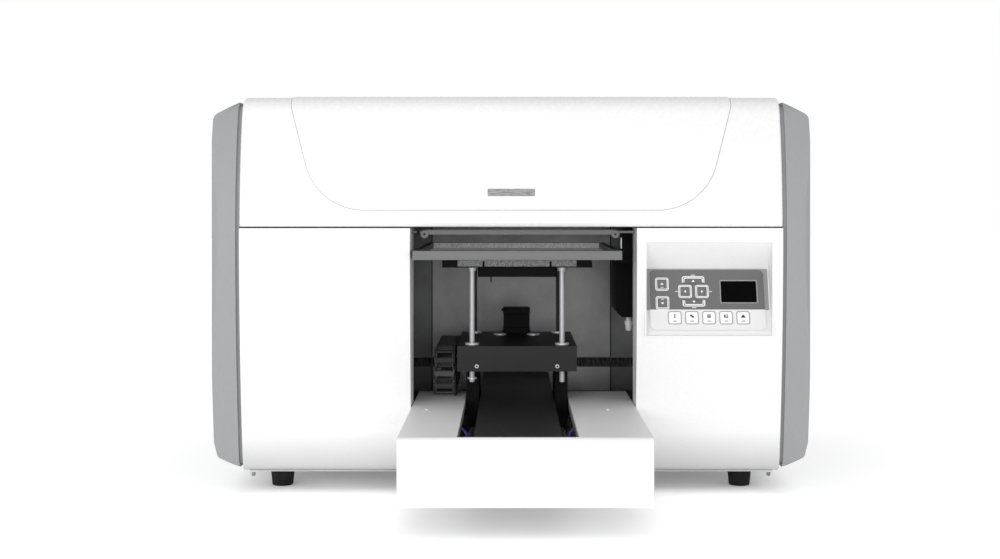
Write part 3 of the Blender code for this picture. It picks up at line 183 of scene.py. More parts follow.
def gloss_white_abs():
    # Moulded white ABS, sprayed with clear lacquer: nearly flawless, so only the gloss wavers a little, apart
    # from painted shade greying the foot of the raised panel's step.
    finish = grained("EEEEEE", "ECECEC", 6.0 * MM, (0.24, 0.30), shine=0.3)
    shader = finish.node_tree.nodes["Principled BSDF"]
    shader.inputs["Coat Weight"].default_value = 0.2
    shader.inputs["Coat Roughness"].default_value = 0.12
    # Painted shade: grey mixed in where the hood's skin marks the foot of the panel's step.
    painted_shade = add_node(finish.node_tree, "ShaderNodeAttribute", attribute_name="crease_shade")
    greyed(finish, painted_shade.outputs["Fac"])
    return finish


def spark_textured_abs():
    # Grey ABS from a spark-eroded mould: a 0.8 mm matt grain, drawn that coarse so that it shows at all.
    return grained("9A9B9D", "919294", 0.8 * MM, (0.48, 0.60), 0.05 * MM)


def grey_powder_coat():
    # Grey powder coat on the sheet steel back: fine wrinkle, low gloss.
    return grained("8F9092", "86878A", 1.4 * MM, (0.50, 0.62), 0.05 * MM)


def zinc_plated_sheet():
    # Passivated zinc-plated sheet, unpainted: slow cloudy patches over a fine dull grain.
    return grained("D6D6D6", "B9B9B9", 1.6 * MM, (0.45, 0.62), 0.02 * MM, 0.2, blotch=60 * MM)


def black_anodised_aluminium():
    # Bead-blasted and black anodised aluminium: even, dark satin with a 0.5 mm sparkle.
    return grained("1E1E1F", "171718", 0.9 * MM, (0.42, 0.55), 0.01 * MM, shine=0.25)


def rolled_black_plate():
    # Cold-rolled plate, blacked in a bath: satin, with faint lines along the rolling direction.
    return grained(
        "2B2B2C", "272728", 3.0 * MM, (0.40, 0.42), 0.0, 0.0, (1.0, 0.05, 1.0), 50 * MM, 0.35
    )


def blasted_aluminium():
    # Glass-bead blasted and grey anodised aluminium: flat grey with a fine crisp grain.
    return grained("6C6C6C", "606060", 1.1 * MM, (0.40, 0.52), 0.02 * MM, 0.4)


def ground_shaft_steel():
    # Centreless-ground, hard-chromed shafting: bright, with hairline rings round it.
    return grained("BDBDBF", "A9A9AC", 1.0 * MM, (0.34, 0.46), 0.0, 0.45, (0.2, 0.2, 4.0))


def ground_rail_steel():
    # The same shafting laid along the bed, darkened by a film of grease.
    return grained("9A9A9D", "7E7E82", 1.0 * MM, (0.2, 0.32), 0.0, 0.4, (0.2, 4.0, 0.2))


def zinc_fastener_steel():
    # Zinc-plated fasteners: bluish bright metal, slightly cloudy.
    return grained("E2E3E6", "CBCDD1", 1.2 * MM, (0.28, 0.40), 0.0, 0.35)


def moulded_black_nylon():
    # Glass-filled nylon, injection moulded: charcoal with a dull mottled skin.
    return grained("5A5A5B", "48484A", 1.4 * MM, (0.45, 0.60), 0.03 * MM)


def moulded_black_abs():
    # Black ABS housings: deeper black, fine matt grain.
    return grained("121213", "0B0B0C", 0.9 * MM, (0.48, 0.6), 0.02 * MM, shine=0.06)


def moulded_rubber():
    # Moulded black rubber: matt, with a greyish bloom in patches.
    return grained("1E1E1E", "141414", 1.5 * MM, (0.72, 0.86), 0.04 * MM, blotch=9 * MM, shine=0.2)


def belt_neoprene():
    # Neoprene timing belt: matt black, faint lengthwise cord lines.
    return grained("262626", "1B1B1B", 0.8 * MM, (0.62, 0.75), 0.03 * MM)


def grey_membrane():
    # Polyester keypad film, printed grey from behind: even tone under a fine velvet surface.
    return grained("696969", "646464", 0.6 * MM, (0.42, 0.50), 0.01 * MM)


def light_membrane():
    # The same film where it is printed light grey.
    return grained("E6E6E6", "E0E0E0", 0.6 * MM, (0.42, 0.50), 0.01 * MM)


def white_print():
    # Screen-printed white ink on the film: matt and slightly uneven.
    return grained("FFFFFF", "F8F8F8", 0.5 * MM, (0.5, 0.6))


def grey_print():
    # Screen-printed mid-grey ink, for the rings of the light keys.
    return grained("9E9E9E", "929292", 0.5 * MM, (0.5, 0.6))


def black_print():
    # Screen-printed black ink, for the symbols.
    return grained("202020", "161616", 0.5 * MM, (0.5, 0.6))


def sand_textured_paint():
    # Two-coat sand-texture paint on the lift's cross plate: coarse speckle, 1.5 mm, light on dark.
    return grained("9A9A9A", "4E4E4E", 1.5 * MM, (0.6, 0.75), 0.15 * MM)


def brush_fibre():
    # Black nylon fibres of the cable slot's brush: dull, each a slightly different black.
    return grained("7A7A7A", "141414", 1.6 * MM, (0.6, 0.8), 0.0, 0.0, (1.0, 1.0, 0.1))


def dull_zinc_edge():
    # Folded zinc edges, rubbed brighter than the sheet around them.
    return grained("D2D2D2", "B8B8B8", 2.0 * MM, (0.3, 0.42), 0.01 * MM, 0.3)


def shaded_zinc_sheet():
    # The same zinc sheet, darker: painted shade on the chamber's corners and side walls, which the covers keep
    # from the light.
    return grained("969698", "7C7C7E", 1.6 * MM, (0.45, 0.62), 0.02 * MM, 0.2, blotch=60 * MM)


def bed_mat():
    # Light grey grip mat in the tray: fine pebbled vinyl, with a faint painted glow that stands in for light
    # bounced about the tray.
    finish = grained("F2F2F2", "C4C4C4", 1.8 * MM, (0.6, 0.75), 0.1 * MM)
    shader = finish.node_tree.nodes["Principled BSDF"]
    plain = shader.inputs["Base Color"].links[0].from_socket
    # Painted glow: the mat's own colour, emitted faintly.
    finish.node_tree.links.new(plain, shader.inputs["Emission Color"])
    shader.inputs["Emission Strength"].default_value = 0.12
    return finish


def navy_hose():
    # Extruded navy nylon hose: smooth, half gloss.
    return grained("26349A", "1B2678", 3.0 * MM, (0.3, 0.4))


def absorbent_foam():
    # Grey open-cell foam of the capping pads: coarse matt pores.
    return grained("8C8C8A", "5A5A58", 1.0 * MM, (0.85, 0.95), 0.3 * MM)


def clear_damper():
    # Translucent ink dampers, moulded milky: smooth with faint clouding.
    return grained("D9D6CC", "C6C2B6", 4.0 * MM, (0.22, 0.32))


def lamp_glass():
    # Quartz window of the curing lamp: dark violet and polished.
    return grained("2B2340", "1D1830", 6.0 * MM, (0.06, 0.12))


def brass():
    # Turned brass terminals and inserts: yellow metal with fine turning marks.
    return grained("B59A5A", "9C8346", 0.6 * MM, (0.25, 0.38), 0.0, 1.0)


def smoked_acrylic():
    # Smoked acrylic display window: deep black with a clear polished face.
    return grained("030304", "010101", 8.0 * MM, (0.30, 0.36), shine=0.05)


def brushed_aluminium():
    # Nameplate stock, brushed lengthwise: short bright and dark streaks 0.4 mm high.
    return grained("8C8C8C", "4A4A4A", 2.2 * MM, (0.25, 0.45), 0.02 * MM, 0.7, (0.25, 1.0, 2.6))


FINISH_MAKERS = (
    powder_coated_steel, dusted_powder_coat, gloss_white_abs, spark_textured_abs, grey_powder_coat,
    zinc_plated_sheet,
    black_anodised_aluminium, rolled_black_plate, blasted_aluminium, ground_shaft_steel, ground_rail_steel,
    zinc_fastener_steel, moulded_black_nylon, moulded_black_abs, moulded_rubber, belt_neoprene, grey_membrane,
    light_membrane, white_print, grey_print, black_print, smoked_acrylic, brushed_aluminium,
    shaded_zinc_sheet, bed_mat, sand_textured_paint, brush_fibre, dull_zinc_edge, navy_hose, absorbent_foam,
    clear_damper, lamp_glass, brass,
)
finishes = {maker.__name__: maker() for maker in FINISH_MAKERS}
for finish_name, made_finish in finishes.items():
    made_finish.name = finish_name


# --- Shape helpers -----------------------------------------------------------


def rounded(corners, steps=6):
    """An outline through (a, b, radius) corners, each radius drawn as an arc."""
    outline = []
    for index, (a, b, radius) in enumerate(corners):
        here = Vector((a, b))
        if radius == 0.0:
            outline.append(here)
            continue
        before = (Vector(corners[index - 1][:2]) - here).normalized()
        after = (Vector(corners[(index + 1) % len(corners)][:2]) - here).normalized()
        half = before.angle(after) / 2
        reach = radius / math.tan(half)
        centre = here + (before + after).normalized() * radius / math.sin(half)
        start = here + before * reach - centre
        end = here + after * reach - centre
        begin = math.atan2(start.y, start.x)
        sweep = math.atan2(start.cross(end), start.dot(end))
        for step in range(steps + 1):
            angle = begin + sweep * step / steps
            outline.append(centre + radius * Vector((math.cos(angle), math.sin(angle))))
    return outline


def rectangle(width, height, radius=0.0):
    """A centred rectangle with equal corner radii."""
    a, b = width / 2, height / 2
    return rounded([(-a, -b, radius), (a, -b, radius), (a, b, radius), (-a, b, radius)], 5)


def mesh_from(shape, name="shape"):
    """A plain mesh from a bmesh, with its normals turned outwards."""
    bmesh.ops.recalc_face_normals(shape, faces=shape.faces)
    mesh = bpy.data.meshes.new(name)
    shape.to_mesh(mesh)
    shape.free()
    return mesh


def prism(outline, low, high, holes=()):
    """A flat outline in X and Y, given thickness along Z, with outlines cut through it."""
    shape = bmesh.new()
    edges = []
    for loop in (outline, *holes):
        ring = [shape.verts.new((a, b, low)) for a, b in loop]
        edges += [shape.edges.new((ring[i - 1], ring[i])) for i in range(len(ring))]
    bmesh.ops.triangle_fill(shape, edges=edges, use_beauty=True)
    if not holes:
        bmesh.ops.dissolve_limit(shape, angle_limit=0.001, verts=shape.verts, edges=shape.edges)
    grown = bmesh.ops.extrude_face_region(shape, geom=shape.faces[:])
    lifted = [item for item in grown["geom"] if isinstance(item, bmesh.types.BMVert)]
    bmesh.ops.translate(shape, verts=lifted, vec=(0.0, 0.0, high - low))
    return mesh_from(shape)


def block(low, high):
    """A box between two corners."""
    centre = [(a + b) / 2 for a, b in zip(low, high)]
    size = [b - a for a, b in zip(low, high)]
    shape = bmesh.new()
    bmesh.ops.create_cube(shape, size=1.0, matrix=Matrix.Translation(centre) @ Matrix.Diagonal((*size, 1.0)))
    return mesh_from(shape)


def turned(profile, steps=28):
    """A solid turned about Z from (radius, height) points, from axis to axis or closed on itself."""
    shape = bmesh.new()
    verts = [shape.verts.new((radius, 0.0, height)) for radius, height in profile]
    edges = [shape.edges.new((a, b)) for a, b in zip(verts, verts[1:])]
    if profile[0][0] > 0.0:
        edges.append(shape.edges.new((verts[-1], verts[0])))
    bmesh.ops.spin(
        shape, geom=verts + edges, cent=(0, 0, 0), axis=(0, 0, 1), angle=math.tau, steps=steps, use_merge=True
    )
    bmesh.ops.remove_doubles(shape, verts=shape.verts, dist=0.001 * MM)
    return mesh_from(shape)


def tube(path, radius, sides=12):
    """A round bar along a path that lies in a plane of constant X, with closed ends."""
    shape = bmesh.new()
    rings = []
    across = Vector((1.0, 0.0, 0.0))
    for index, point in enumerate(path):
        before = Vector(path[max(0, index - 1)])
        after = Vector(path[min(len(path) - 1, index + 1)])
        up = (after - before).normalized().cross(across)
        turns = [k * math.tau / sides for k in range(sides)]
        rings.append(
            [
                shape.verts.new(Vector(point) + radius * (across * math.cos(t) + up * math.sin(t)))
                for t in turns
            ]
        )
    for first, second in zip(rings, rings[1:]):
        for k in range(sides):
            shape.faces.new((first[k - 1], first[k], second[k], second[k - 1]))
    shape.faces.new(rings[0])
    shape.faces.new(rings[-1])
    mesh = mesh_from(shape)
    mesh.shade_smooth()
    return mesh


def facing(direction, place):
    """Turns a shape's +Z towards a direction, and moves it to a place."""
    return Matrix.Translation(place) @ Vector(direction).to_track_quat("Z", "Y").to_matrix().to_4x4()


def placed(mesh, matrix):
    mesh.transform(matrix)
    return mesh


def plain_mesh(obj):
    """The evaluated mesh of a temporary object, which is then removed."""
    bpy.context.view_layer.update()
    depsgraph = bpy.context.evaluated_depsgraph_get()
    mesh = bpy.data.meshes.new_from_object(obj.evaluated_get(depsgraph))
    bpy.data.objects.remove(obj)
    return mesh


def temporary(mesh):
    obj = bpy.data.objects.new("temporary", mesh)
    bpy.context.scene.collection.objects.link(obj)
    return obj


def eased(mesh, width=EDGE, segments=2, angle=35.0):
    """The mesh with its sharp edges rounded and its flat faces shaded flat."""
    mesh.shade_smooth()
    obj = temporary(mesh)
    bevel = obj.modifiers.new("Ease", "BEVEL")
    bevel.width = width
    bevel.segments = segments
    bevel.limit_method = "ANGLE"
    bevel.angle_limit = math.radians(angle)
    bevel.use_clamp_overlap = True
    weighted = obj.modifiers.new("Normals", "WEIGHTED_NORMAL")
    weighted.keep_sharp = True
    return plain_mesh(obj)


def node_mesh(name):
    """A copy of a CAD solid with its points merged and its flat faces made whole."""
    shape = bmesh.new()
    shape.from_mesh(frame["nodes"][name].data)
    bmesh.ops.remove_doubles(shape, verts=shape.verts, dist=0.002 * MM)
    bmesh.ops.dissolve_limit(shape, angle_limit=math.radians(0.3), verts=shape.verts, edges=shape.edges)
    mesh = bpy.data.meshes.new(name)
    shape.to_mesh(mesh)
    shape.free()
    return mesh


def piece(name, body, solids, replaces=()):
    """One finished piece from (mesh, finish name) pairs; it rides on a body and stands for CAD nodes."""
    parts = []
    for mesh, finish in solids:
        mesh.materials.clear()
        mesh.materials.append(finishes[finish])
        mesh.polygons.foreach_set("material_index", [0] * len(mesh.polygons))
        part = temporary(mesh)
        parts.append(part)
    whole = parts[0]
    if len(parts) > 1:
        with bpy.context.temp_override(active_object=whole, object=whole, selected_editable_objects=parts):
            bpy.ops.object.join()
    whole.name = name
    whole.data.name = name
    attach(whole, body)
    if replaces:
        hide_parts(*replaces)
    return whole


def copies_tree():
    """Sets copies of a template on points, each turned by its point's stored angles."""
    tree = bpy.data.node_groups.new("copies_on_points", "GeometryNodeTree")
    sockets = {}
    for label, kind in (
        ("Points", "Geometry"), ("Template", "Object"), ("Size", "Float"), ("Finish", "Material")
    ):
        sockets[label] = tree.interface.new_socket(label, in_out="INPUT", socket_type=f"NodeSocket{kind}")
    tree.interface.new_socket("Copies", in_out="OUTPUT", socket_type="NodeSocketGeometry")
    given = add_node(tree, "NodeGroupInput").outputs
    turn = add_node(tree, "GeometryNodeInputNamedAttribute", {"Name": "turn"}, data_type="FLOAT_VECTOR")
    rotation = add_node(tree, "FunctionNodeEulerToRotation", {"Euler": turn.outputs["Attribute"]})
    template = add_node(tree, "GeometryNodeObjectInfo", {"Object": given["Template"]})
    spread = add_node(
        tree,
        "GeometryNodeInstanceOnPoints",
        {
            "Points": given["Points"],
            "Instance": template.outputs["Geometry"],
            "Rotation": rotation.outputs["Rotation"],
            "Scale": given["Size"],
        },
    )
    real = add_node(tree, "GeometryNodeRealizeInstances", {"Geometry": spread.outputs["Instances"]})
    painted = add_node(
        tree, "GeometryNodeSetMaterial", {"Geometry": real.outputs["Geometry"], "Material": given["Finish"]}
    )
    add_node(tree, "NodeGroupOutput", {"Copies": painted.outputs["Geometry"]})
    return tree, sockets


COPIES, COPY_INPUTS = copies_tree()


def copies(template, places, finish, size=1.0):
    """One mesh of copies of a template; places are matrices without scale."""
    points = bpy.data.meshes.new("points")
    points.from_pydata([place.translation for place in places], [], [])
    turn = points.attributes.new("turn", "FLOAT_VECTOR", "POINT")
    turn.data.foreach_set("vector", [value for place in places for value in place.to_euler()])
    pattern = temporary(template)
    obj = temporary(points)
    spread = obj.modifiers.new("Copies", "NODES")
    spread.node_group = COPIES
    spread[COPY_INPUTS["Template"].identifier] = pattern
    spread[COPY_INPUTS["Size"].identifier] = size
    spread[COPY_INPUTS["Finish"].identifier] = finishes[finish]
    mesh = plain_mesh(obj)
    bpy.data.objects.remove(pattern)
    return mesh


# --- Fasteners ---------------------------------------------------------------


def cap_screw(radius=2.75 * MM, height=3.0 * MM):
    """Socket cap screw head, seat at z = 0: a turned head with a six-sided recess."""
    socket = radius * 0.52
    ring = [Vector((math.cos(k * math.tau / 24), math.sin(k * math.tau / 24))) for k in range(24)]
    hexagon = [socket * Vector((math.cos(k * math.tau / 6), math.sin(k * math.tau / 6))) for k in range(6)]
    head = eased(prism([radius * point for point in ring], 0.0, height, [hexagon]), 0.3 * MM, 2)
    return head


def pan_screw(radius=3.2 * MM, height=1.6 * MM):
    """Low round head."""
    outline = [(0.0, height)]
    for step in range(1, 6):
        angle = step * math.pi / 10
        outline.append((radius * math.sin(angle), height * math.cos(angle) ** 0.8))
    outline += [(radius, -0.2 * MM), (0.0, -0.2 * MM)]
    return turned(outline, 20)


# --- Hood --------------------------------------------------------------------


def hood_side_line():
    """The hood's side view as (y, z) points, from the front lip, over the rounded edge, to the back."""
    low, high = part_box("hood")
    front = low.y
    rows = []
    turn_height = high.z - HOOD_CORNER_RADIUS - 0.004
    for step in range(19):
        height = low.z + (turn_height - low.z) * step / 18
        rows.append((front + (height - SEAM_HEIGHT) ** 2 / (2 * HOOD_BOW_RADIUS), height, 0.0))
    corner = (front + (high.z - SEAM_HEIGHT) ** 2 / (2 * HOOD_BOW_RADIUS), high.z, HOOD_CORNER_RADIUS)
    back = HOOD_BACK
    line = rounded([(back, low.z, 0.0), *rows, corner, (back, high.z, 0.0)], 16)
    return line[1:]


def along(line):
    """Distance along a line at each of its points."""
    total = [0.0]
    for a, b in zip(line, line[1:]):
        total.append(total[-1] + (b - a).length)
    return total


def smooth_step(value):
    value = min(1.0, max(0.0, value))
    return value * value * (3 - 2 * value)


def panel_outline(first, last):
    """The raised panel's edge, laid flat: across the hood, and along its side line."""
    bottom = PANEL_BOTTOM - first
    shoulder = PANEL_SHOULDER - first
    half = PANEL_BOTTOM_HALF
    top = PANEL_TOP_HALF
    end = last + 0.01
    return [
        (-half, bottom, 0.085),
        (half, bottom, 0.085),
        (top, shoulder, 0.06),
        (top + 0.004, end, 0.0),
        (-top - 0.004, end, 0.0),
        (-top, shoulder, 0.06),
    ]


def offset(outline, distance):
    """A closed outline moved sideways, outwards for a positive distance when it runs anticlockwise."""
    moved = []
    for index, here in enumerate(outline):
        before, after = outline[index - 1], outline[(index + 1) % len(outline)]
        normal = ((here - before).normalized() + (after - here).normalized()).normalized()
        moved.append(here + distance * Vector((normal.y, -normal.x)))
    return moved


def hood_shell():
    """The hood's skin: bowed front with its raised panel, rounded top edge and sides, and two cheeks."""
    low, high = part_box("hood")
    line = hood_side_line()
    reach = along(line)
    last = reach[-1]
    flat = high.x - HOOD_SIDE_ROUND
    edge = flat + HOOD_SIDE_ROUND * math.pi / 2
    ring = rounded(panel_outline(low.z, last), 20)
    points, edges = [], []

    def add_line(path, closed=False):
        start = len(points)
        points.extend(Vector(p) for p in path)
        edges.extend((start + i, start + i + 1) for i in range(len(path) - 1))
        if closed:
            edges.append((len(points) - 1, start))

    for distance in reach:
        add_line([(-edge, distance), (edge, distance)])
    for side in (-1, 1):
        for step in range(6):
            across = flat + (edge - flat) * step / 5
            add_line([(side * across, 0.0), (side * across, last)])
    for share in (-0.5, -0.25, 0.0, 0.25, 0.5):
        path = offset(ring, share * PANEL_STEP_WIDTH)
        inside = [(x, min(s, last)) for x, s in path]
        add_line(inside, True)
    verts, _, faces, *_ = delaunay_2d_cdt(points, edges, [], 2, 1e-6)

    def raised(x, s):
        """How far the panel stands out at a point and how much painted shade its foot gets, by distance to its
        edge.
        """
        here = Vector((x, s))
        nearest = min((here - a).length for a in dense)
        sign = 1.0 if inside_outline(here, ring) else -1.0
        share = sign * nearest / PANEL_STEP_WIDTH
        return PANEL_STEP * smooth_step(0.5 + share), max(0.0, 1.0 - abs(share + 0.25) / 0.25)

    dense = []
    for index, here in enumerate(ring):
        before = ring[index - 1]
        count = max(1, int((here - before).length / (0.4 * MM)))
        dense.extend(before.lerp(here, k / count) for k in range(count))

    def on_line(s):
        """Place and outward direction of the side line at a distance along it."""
        index = max(k for k, value in enumerate(reach) if value <= s + 1e-9)
        index = min(index, len(reach) - 2)
        share = (s - reach[index]) / (reach[index + 1] - reach[index])
        place = line[index].lerp(line[index + 1], share)
        tangent = line_tangent(line, index).lerp(line_tangent(line, index + 1), share).normalized()
        return place, Vector((-tangent.y, tangent.x))

    shape = bmesh.new()
    made = []
    # Per-point painted shade for the foot of the panel's step, read by the hood's finish.
    crease_shade = shape.verts.layers.float.new("crease_shade")
    for x, s in verts:
        place, out = on_line(s)
        across = abs(x)
        side = -1 if x < 0 else 1
        sink = 0.0
        if across > flat:
            angle = (across - flat) / HOOD_SIDE_ROUND
            across = flat + HOOD_SIDE_ROUND * math.sin(angle)
            sink = HOOD_SIDE_ROUND * (1 - math.cos(angle))
        near = abs(abs(x) - PANEL_TOP_HALF) < 0.2 or s > PANEL_BOTTOM - low.z - 0.01
        rise, shade = raised(x, s) if near and sink == 0.0 else (0.0, 0.0)
        spot = place + out * (rise - sink)
        made.append(shape.verts.new((side * across, spot.x, spot.y)))
        made[-1][crease_shade] = shade
    for face in faces:
        shape.faces.new([made[index] for index in face])
    bmesh.ops.remove_doubles(shape, verts=shape.verts, dist=0.01 * MM)
    bmesh.ops.dissolve_degenerate(shape, dist=0.01 * MM, edges=shape.edges)
    for side in (-1, 1):
        rim = [v for v in shape.verts if abs(v.co.x - side * high.x) < 0.01 * MM]
        rim.sort(key=lambda v: on_rim(v.co, line))
        corner = shape.verts.new((side * high.x, HOOD_BACK, low.z))
        shape.faces.new(rim + [corner])
    bmesh.ops.triangulate(shape, faces=[f for f in shape.faces if len(f.verts) > 4])
    bmesh.ops.recalc_face_normals(shape, faces=shape.faces)
    front_face = min(shape.faces, key=lambda f: f.calc_center_median().y)
    if front_face.normal.y > 0:
        bmesh.ops.reverse_faces(shape, faces=shape.faces)
    mesh = bpy.data.meshes.new("hood_skin")
    shape.to_mesh(mesh)
    shape.free()
    mesh.shade_smooth()
    mesh.set_sharp_from_angle(angle=math.radians(35))
    obj = temporary(mesh)
    wall = obj.modifiers.new("Wall", "SOLIDIFY")
    wall.thickness = HOOD_WALL
    wall.offset = -1.0
    cutters = []
    for side in (-1, 1):
        x = side * (high.x - 56 * MM)
        notch = block(
            (x - 6.8 * MM, HINGE.y - 10.4 * MM, high.z - 8 * MM),
            (x + 6.8 * MM, high.y + 5 * MM, high.z + 5 * MM)
        )
        cutters.append(temporary(notch))
        cut = obj.modifiers.new("Notch", "BOOLEAN")
        cut.operation = "DIFFERENCE"
        cut.solver = "EXACT"
        cut.object = cutters[-1]
    mesh = plain_mesh(obj)
    for cutter in cutters:
        bpy.data.objects.remove(cutter)
    return mesh


def line_tangent(line, index):
    before = line[max(0, index - 1)]
    after = line[min(len(line) - 1, index + 1)]
    return (after - before).normalized()


def inside_outline(point, outline):
    """Whether a point lies inside a closed outline."""
    crossings = 0
    for index, b in enumerate(outline):
        a = outline[index - 1]
        if (a.y > point.y) != (b.y > point.y):
            if point.x < a.x + (point.y - a.y) * (b.x - a.x) / (b.y - a.y):
                crossings += 1
    return crossings % 2 == 1


def on_rim(place, line):
    """Where a point of the cheek's rim lies along the side line."""
    here = Vector((place.y, place.z))
    return min(range(len(line)), key=lambda k: (line[k] - here).length)


HOOD_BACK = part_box("hood")[1].y - 2.5 * MM
HINGE = Vector(next(j for j in frame["joints"] if j["name"] == "hood_hinge")["pos_m"])


def make_hood():
    skin = hood_shell()
    low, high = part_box("hood")
    eyes = []
    hinge = HINGE
    for side in (-1, 1):
        eye = turned([(3.4 * MM, 0.0), (6.4 * MM, 0.0), (6.4 * MM, 0.012), (3.4 * MM, 0.012)], 24)
        x = side * (high.x - 0.086)
        eyes.append((placed(eye, facing((1, 0, 0), (x - 0.006, hinge.y, hinge.z))), "gloss_white_abs"))
        tongue = block(
            (x - 0.006, hinge.y - 0.016, hinge.z + 2.0 * MM),
            (x + 0.006, hinge.y - 3.6 * MM, high.z - 1.0 * MM)
        )
        eyes.append((eased(tongue, 0.4 * MM), "gloss_white_abs"))
    piece("hood_skin", "hood", [(skin, "gloss_white_abs"), *eyes], ["hood"])
    front = low.y + (NAMEPLATE_HEIGHT - SEAM_HEIGHT) ** 2 / (2 * HOOD_BOW_RADIUS) - PANEL_STEP
    plate = eased(prism(rectangle(*NAMEPLATE_SIZE, 0.8 * MM), -0.2 * MM, 0.8 * MM), 0.25 * MM)
    placed(plate, facing((0, -1, 0), (0.0005, front, NAMEPLATE_HEIGHT)))
    piece("nameplate", "hood", [(plate, "brushed_aluminium")])


# --- Refined frame parts -----------------------------------------------------

REFINED = (
    ("front_cover_left", "root", "white_enamel", "dusted_powder_coat", 1.4),
    ("front_cover_right", "root", "white_enamel", "dusted_powder_coat", 1.4),
    ("bed_housing", "root", "white_enamel", "powder_coated_steel", 0.9),
    ("side_panel_left", "root", "grey_abs", "spark_textured_abs", 0.9),
    ("side_panel_right", "root", "grey_abs", "spark_textured_abs", 0.9),
    ("rear_cover", "root", "grey_enamel", "grey_powder_coat", 0.6),
    ("base_pan", "root", "galvanised_sheet", "zinc_plated_sheet", 0.5),
    ("chamber_wall_left", "root", "galvanised_sheet", "shaded_zinc_sheet", 0.5),
    ("chamber_wall_right", "root", "galvanised_sheet", "shaded_zinc_sheet", 0.5),
    ("chamber_back_wall", "root", "galvanised_sheet", "shaded_zinc_sheet", 0.5),
    ("cross_beam", "root", "grey_anodised", "blasted_aluminium", 0.8),
    ("tie_bar", "root", "grey_anodised", "blasted_aluminium", 0.5),
    ("capping_station", "root", "black_plastic", "moulded_black_abs", 1.2),
    ("rail_bed", "root", "black_anodised", "rolled_black_plate", 0.8),
    ("head_carriage", "head", "black_anodised", "black_anodised_aluminium", 1.0),
    ("print_head", "head", "black_plastic", "moulded_black_abs", 1.6),
    ("curing_lamp", "head", "grey_anodised", "blasted_aluminium", 1.0),
    ("lift_block", "bed", "black_anodised", "black_anodised_aluminium", 0.7),
    ("slide_bearing_left", "bed", "grey_anodised", "moulded_black_abs", 0.8),
    ("slide_bearing_right", "bed", "grey_anodised", "moulded_black_abs", 0.8),
    ("lift_frame", "lift", "black_anodised", "moulded_black_abs", 0.6),
    ("print_table", "lift", "grey_anodised", "blasted_aluminium", 0.6),
)


def make_refined():
    """The CAD solids whose shape is right, with their edges rounded by an amount in millimetres."""
    for node, body, slot, finish, width in REFINED:
        piece(f"{node}_body", body, [(eased(node_mesh(node), width * MM), finish)], [node])


def make_plain_finishes():
    """The CAD solids that stay as they are, with a finish."""
    for node, finish in {
        "hinge_rod": "ground_shaft_steel",
        "bed_shaft_left": "ground_rail_steel",
        "bed_shaft_right": "ground_rail_steel",
        "bed_drive_pulley": "zinc_fastener_steel",
        "head_drive_pulley": "zinc_fastener_steel",
        "bed_belt": "belt_neoprene",
        "head_belt": "belt_neoprene",
    }.items():
        mesh = frame["nodes"][node].data
        mesh.materials.clear()
        mesh.materials.append(finishes[finish])
        mesh.shade_smooth()
        mesh.set_sharp_from_angle(angle=math.radians(30))


# --- Keypad ------------------------------------------------------------------

OUT = -Vector(next(j for j in frame["joints"] if j["name"] == "key_power_press")["axis"])
KEY_SIDE = 16.5 * MM
KEY_WIDE = (28.5 * MM, 9.0 * MM)
KEY_HALF_DEPTH = 0.8 * MM
DISPLAY_SIZE = (50.5 * MM, 31.0 * MM)
KEYPAD_SIZE = (164.0 * MM, 88.5 * MM)
KEYPAD_HALF_DEPTH = 1.5 * MM
ZONE_EDGE = -14.9 * MM
INK = 0.07 * MM
LIGHT_KEYS = ("key_power", "key_feed", "key_clean", "key_light", "key_print")


def middle(node):
    low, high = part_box(node)
    return (low + high) / 2


def on_slope(place):
    """Frame on the sloped panel at a place: X across, Y up the slope, Z out of it."""
    across = Vector((1.0, 0.0, 0.0))
    turn = Matrix((across, OUT.cross(across), OUT)).transposed().to_4x4()
    return Matrix.Translation(place) @ turn


def rectangle_between(left, bottom, right, top):
    return [Vector(corner) for corner in ((left, bottom), (right, bottom), (right, top), (left, top))]


def moved(outline, x, y):
    return [Vector((a + x, b + y)) for a, b in outline]


def ring_of(width, height, radius, line):
    """Outline of a printed ring and of its inside."""
    return rectangle(width, height, radius), rectangle(
        width - 2 * line, height - 2 * line, radius - line * 0.6
    )


def bracket(width, height, line, upwards):
    """A printed bracket, open on one side: a U with rounded corners."""
    a, b = width / 2, height
    outline = rounded(
        [
            (-a, 0.0, 0.0), (-a, b, 3.0 * MM), (a, b, 3.0 * MM), (a, 0.0, 0.0),
            (a - line, 0.0, 0.0), (a - line, b - line, 1.6 * MM), (line - a, b - line, 1.6 * MM),
            (line - a, 0.0, 0.0),
        ],
        5,
    )
    return outline if upwards else [Vector((x, -y)) for x, y in reversed(outline)]


def triangle(size, turns):
    """A small arrow head, pointing up and then turned by quarter turns."""
    points = [Vector((-size, -size * 0.55)), Vector((size, -size * 0.55)), Vector((0.0, size * 0.75))]
    return [Matrix.Rotation(turns * math.pi / 2, 2) @ point for point in points]


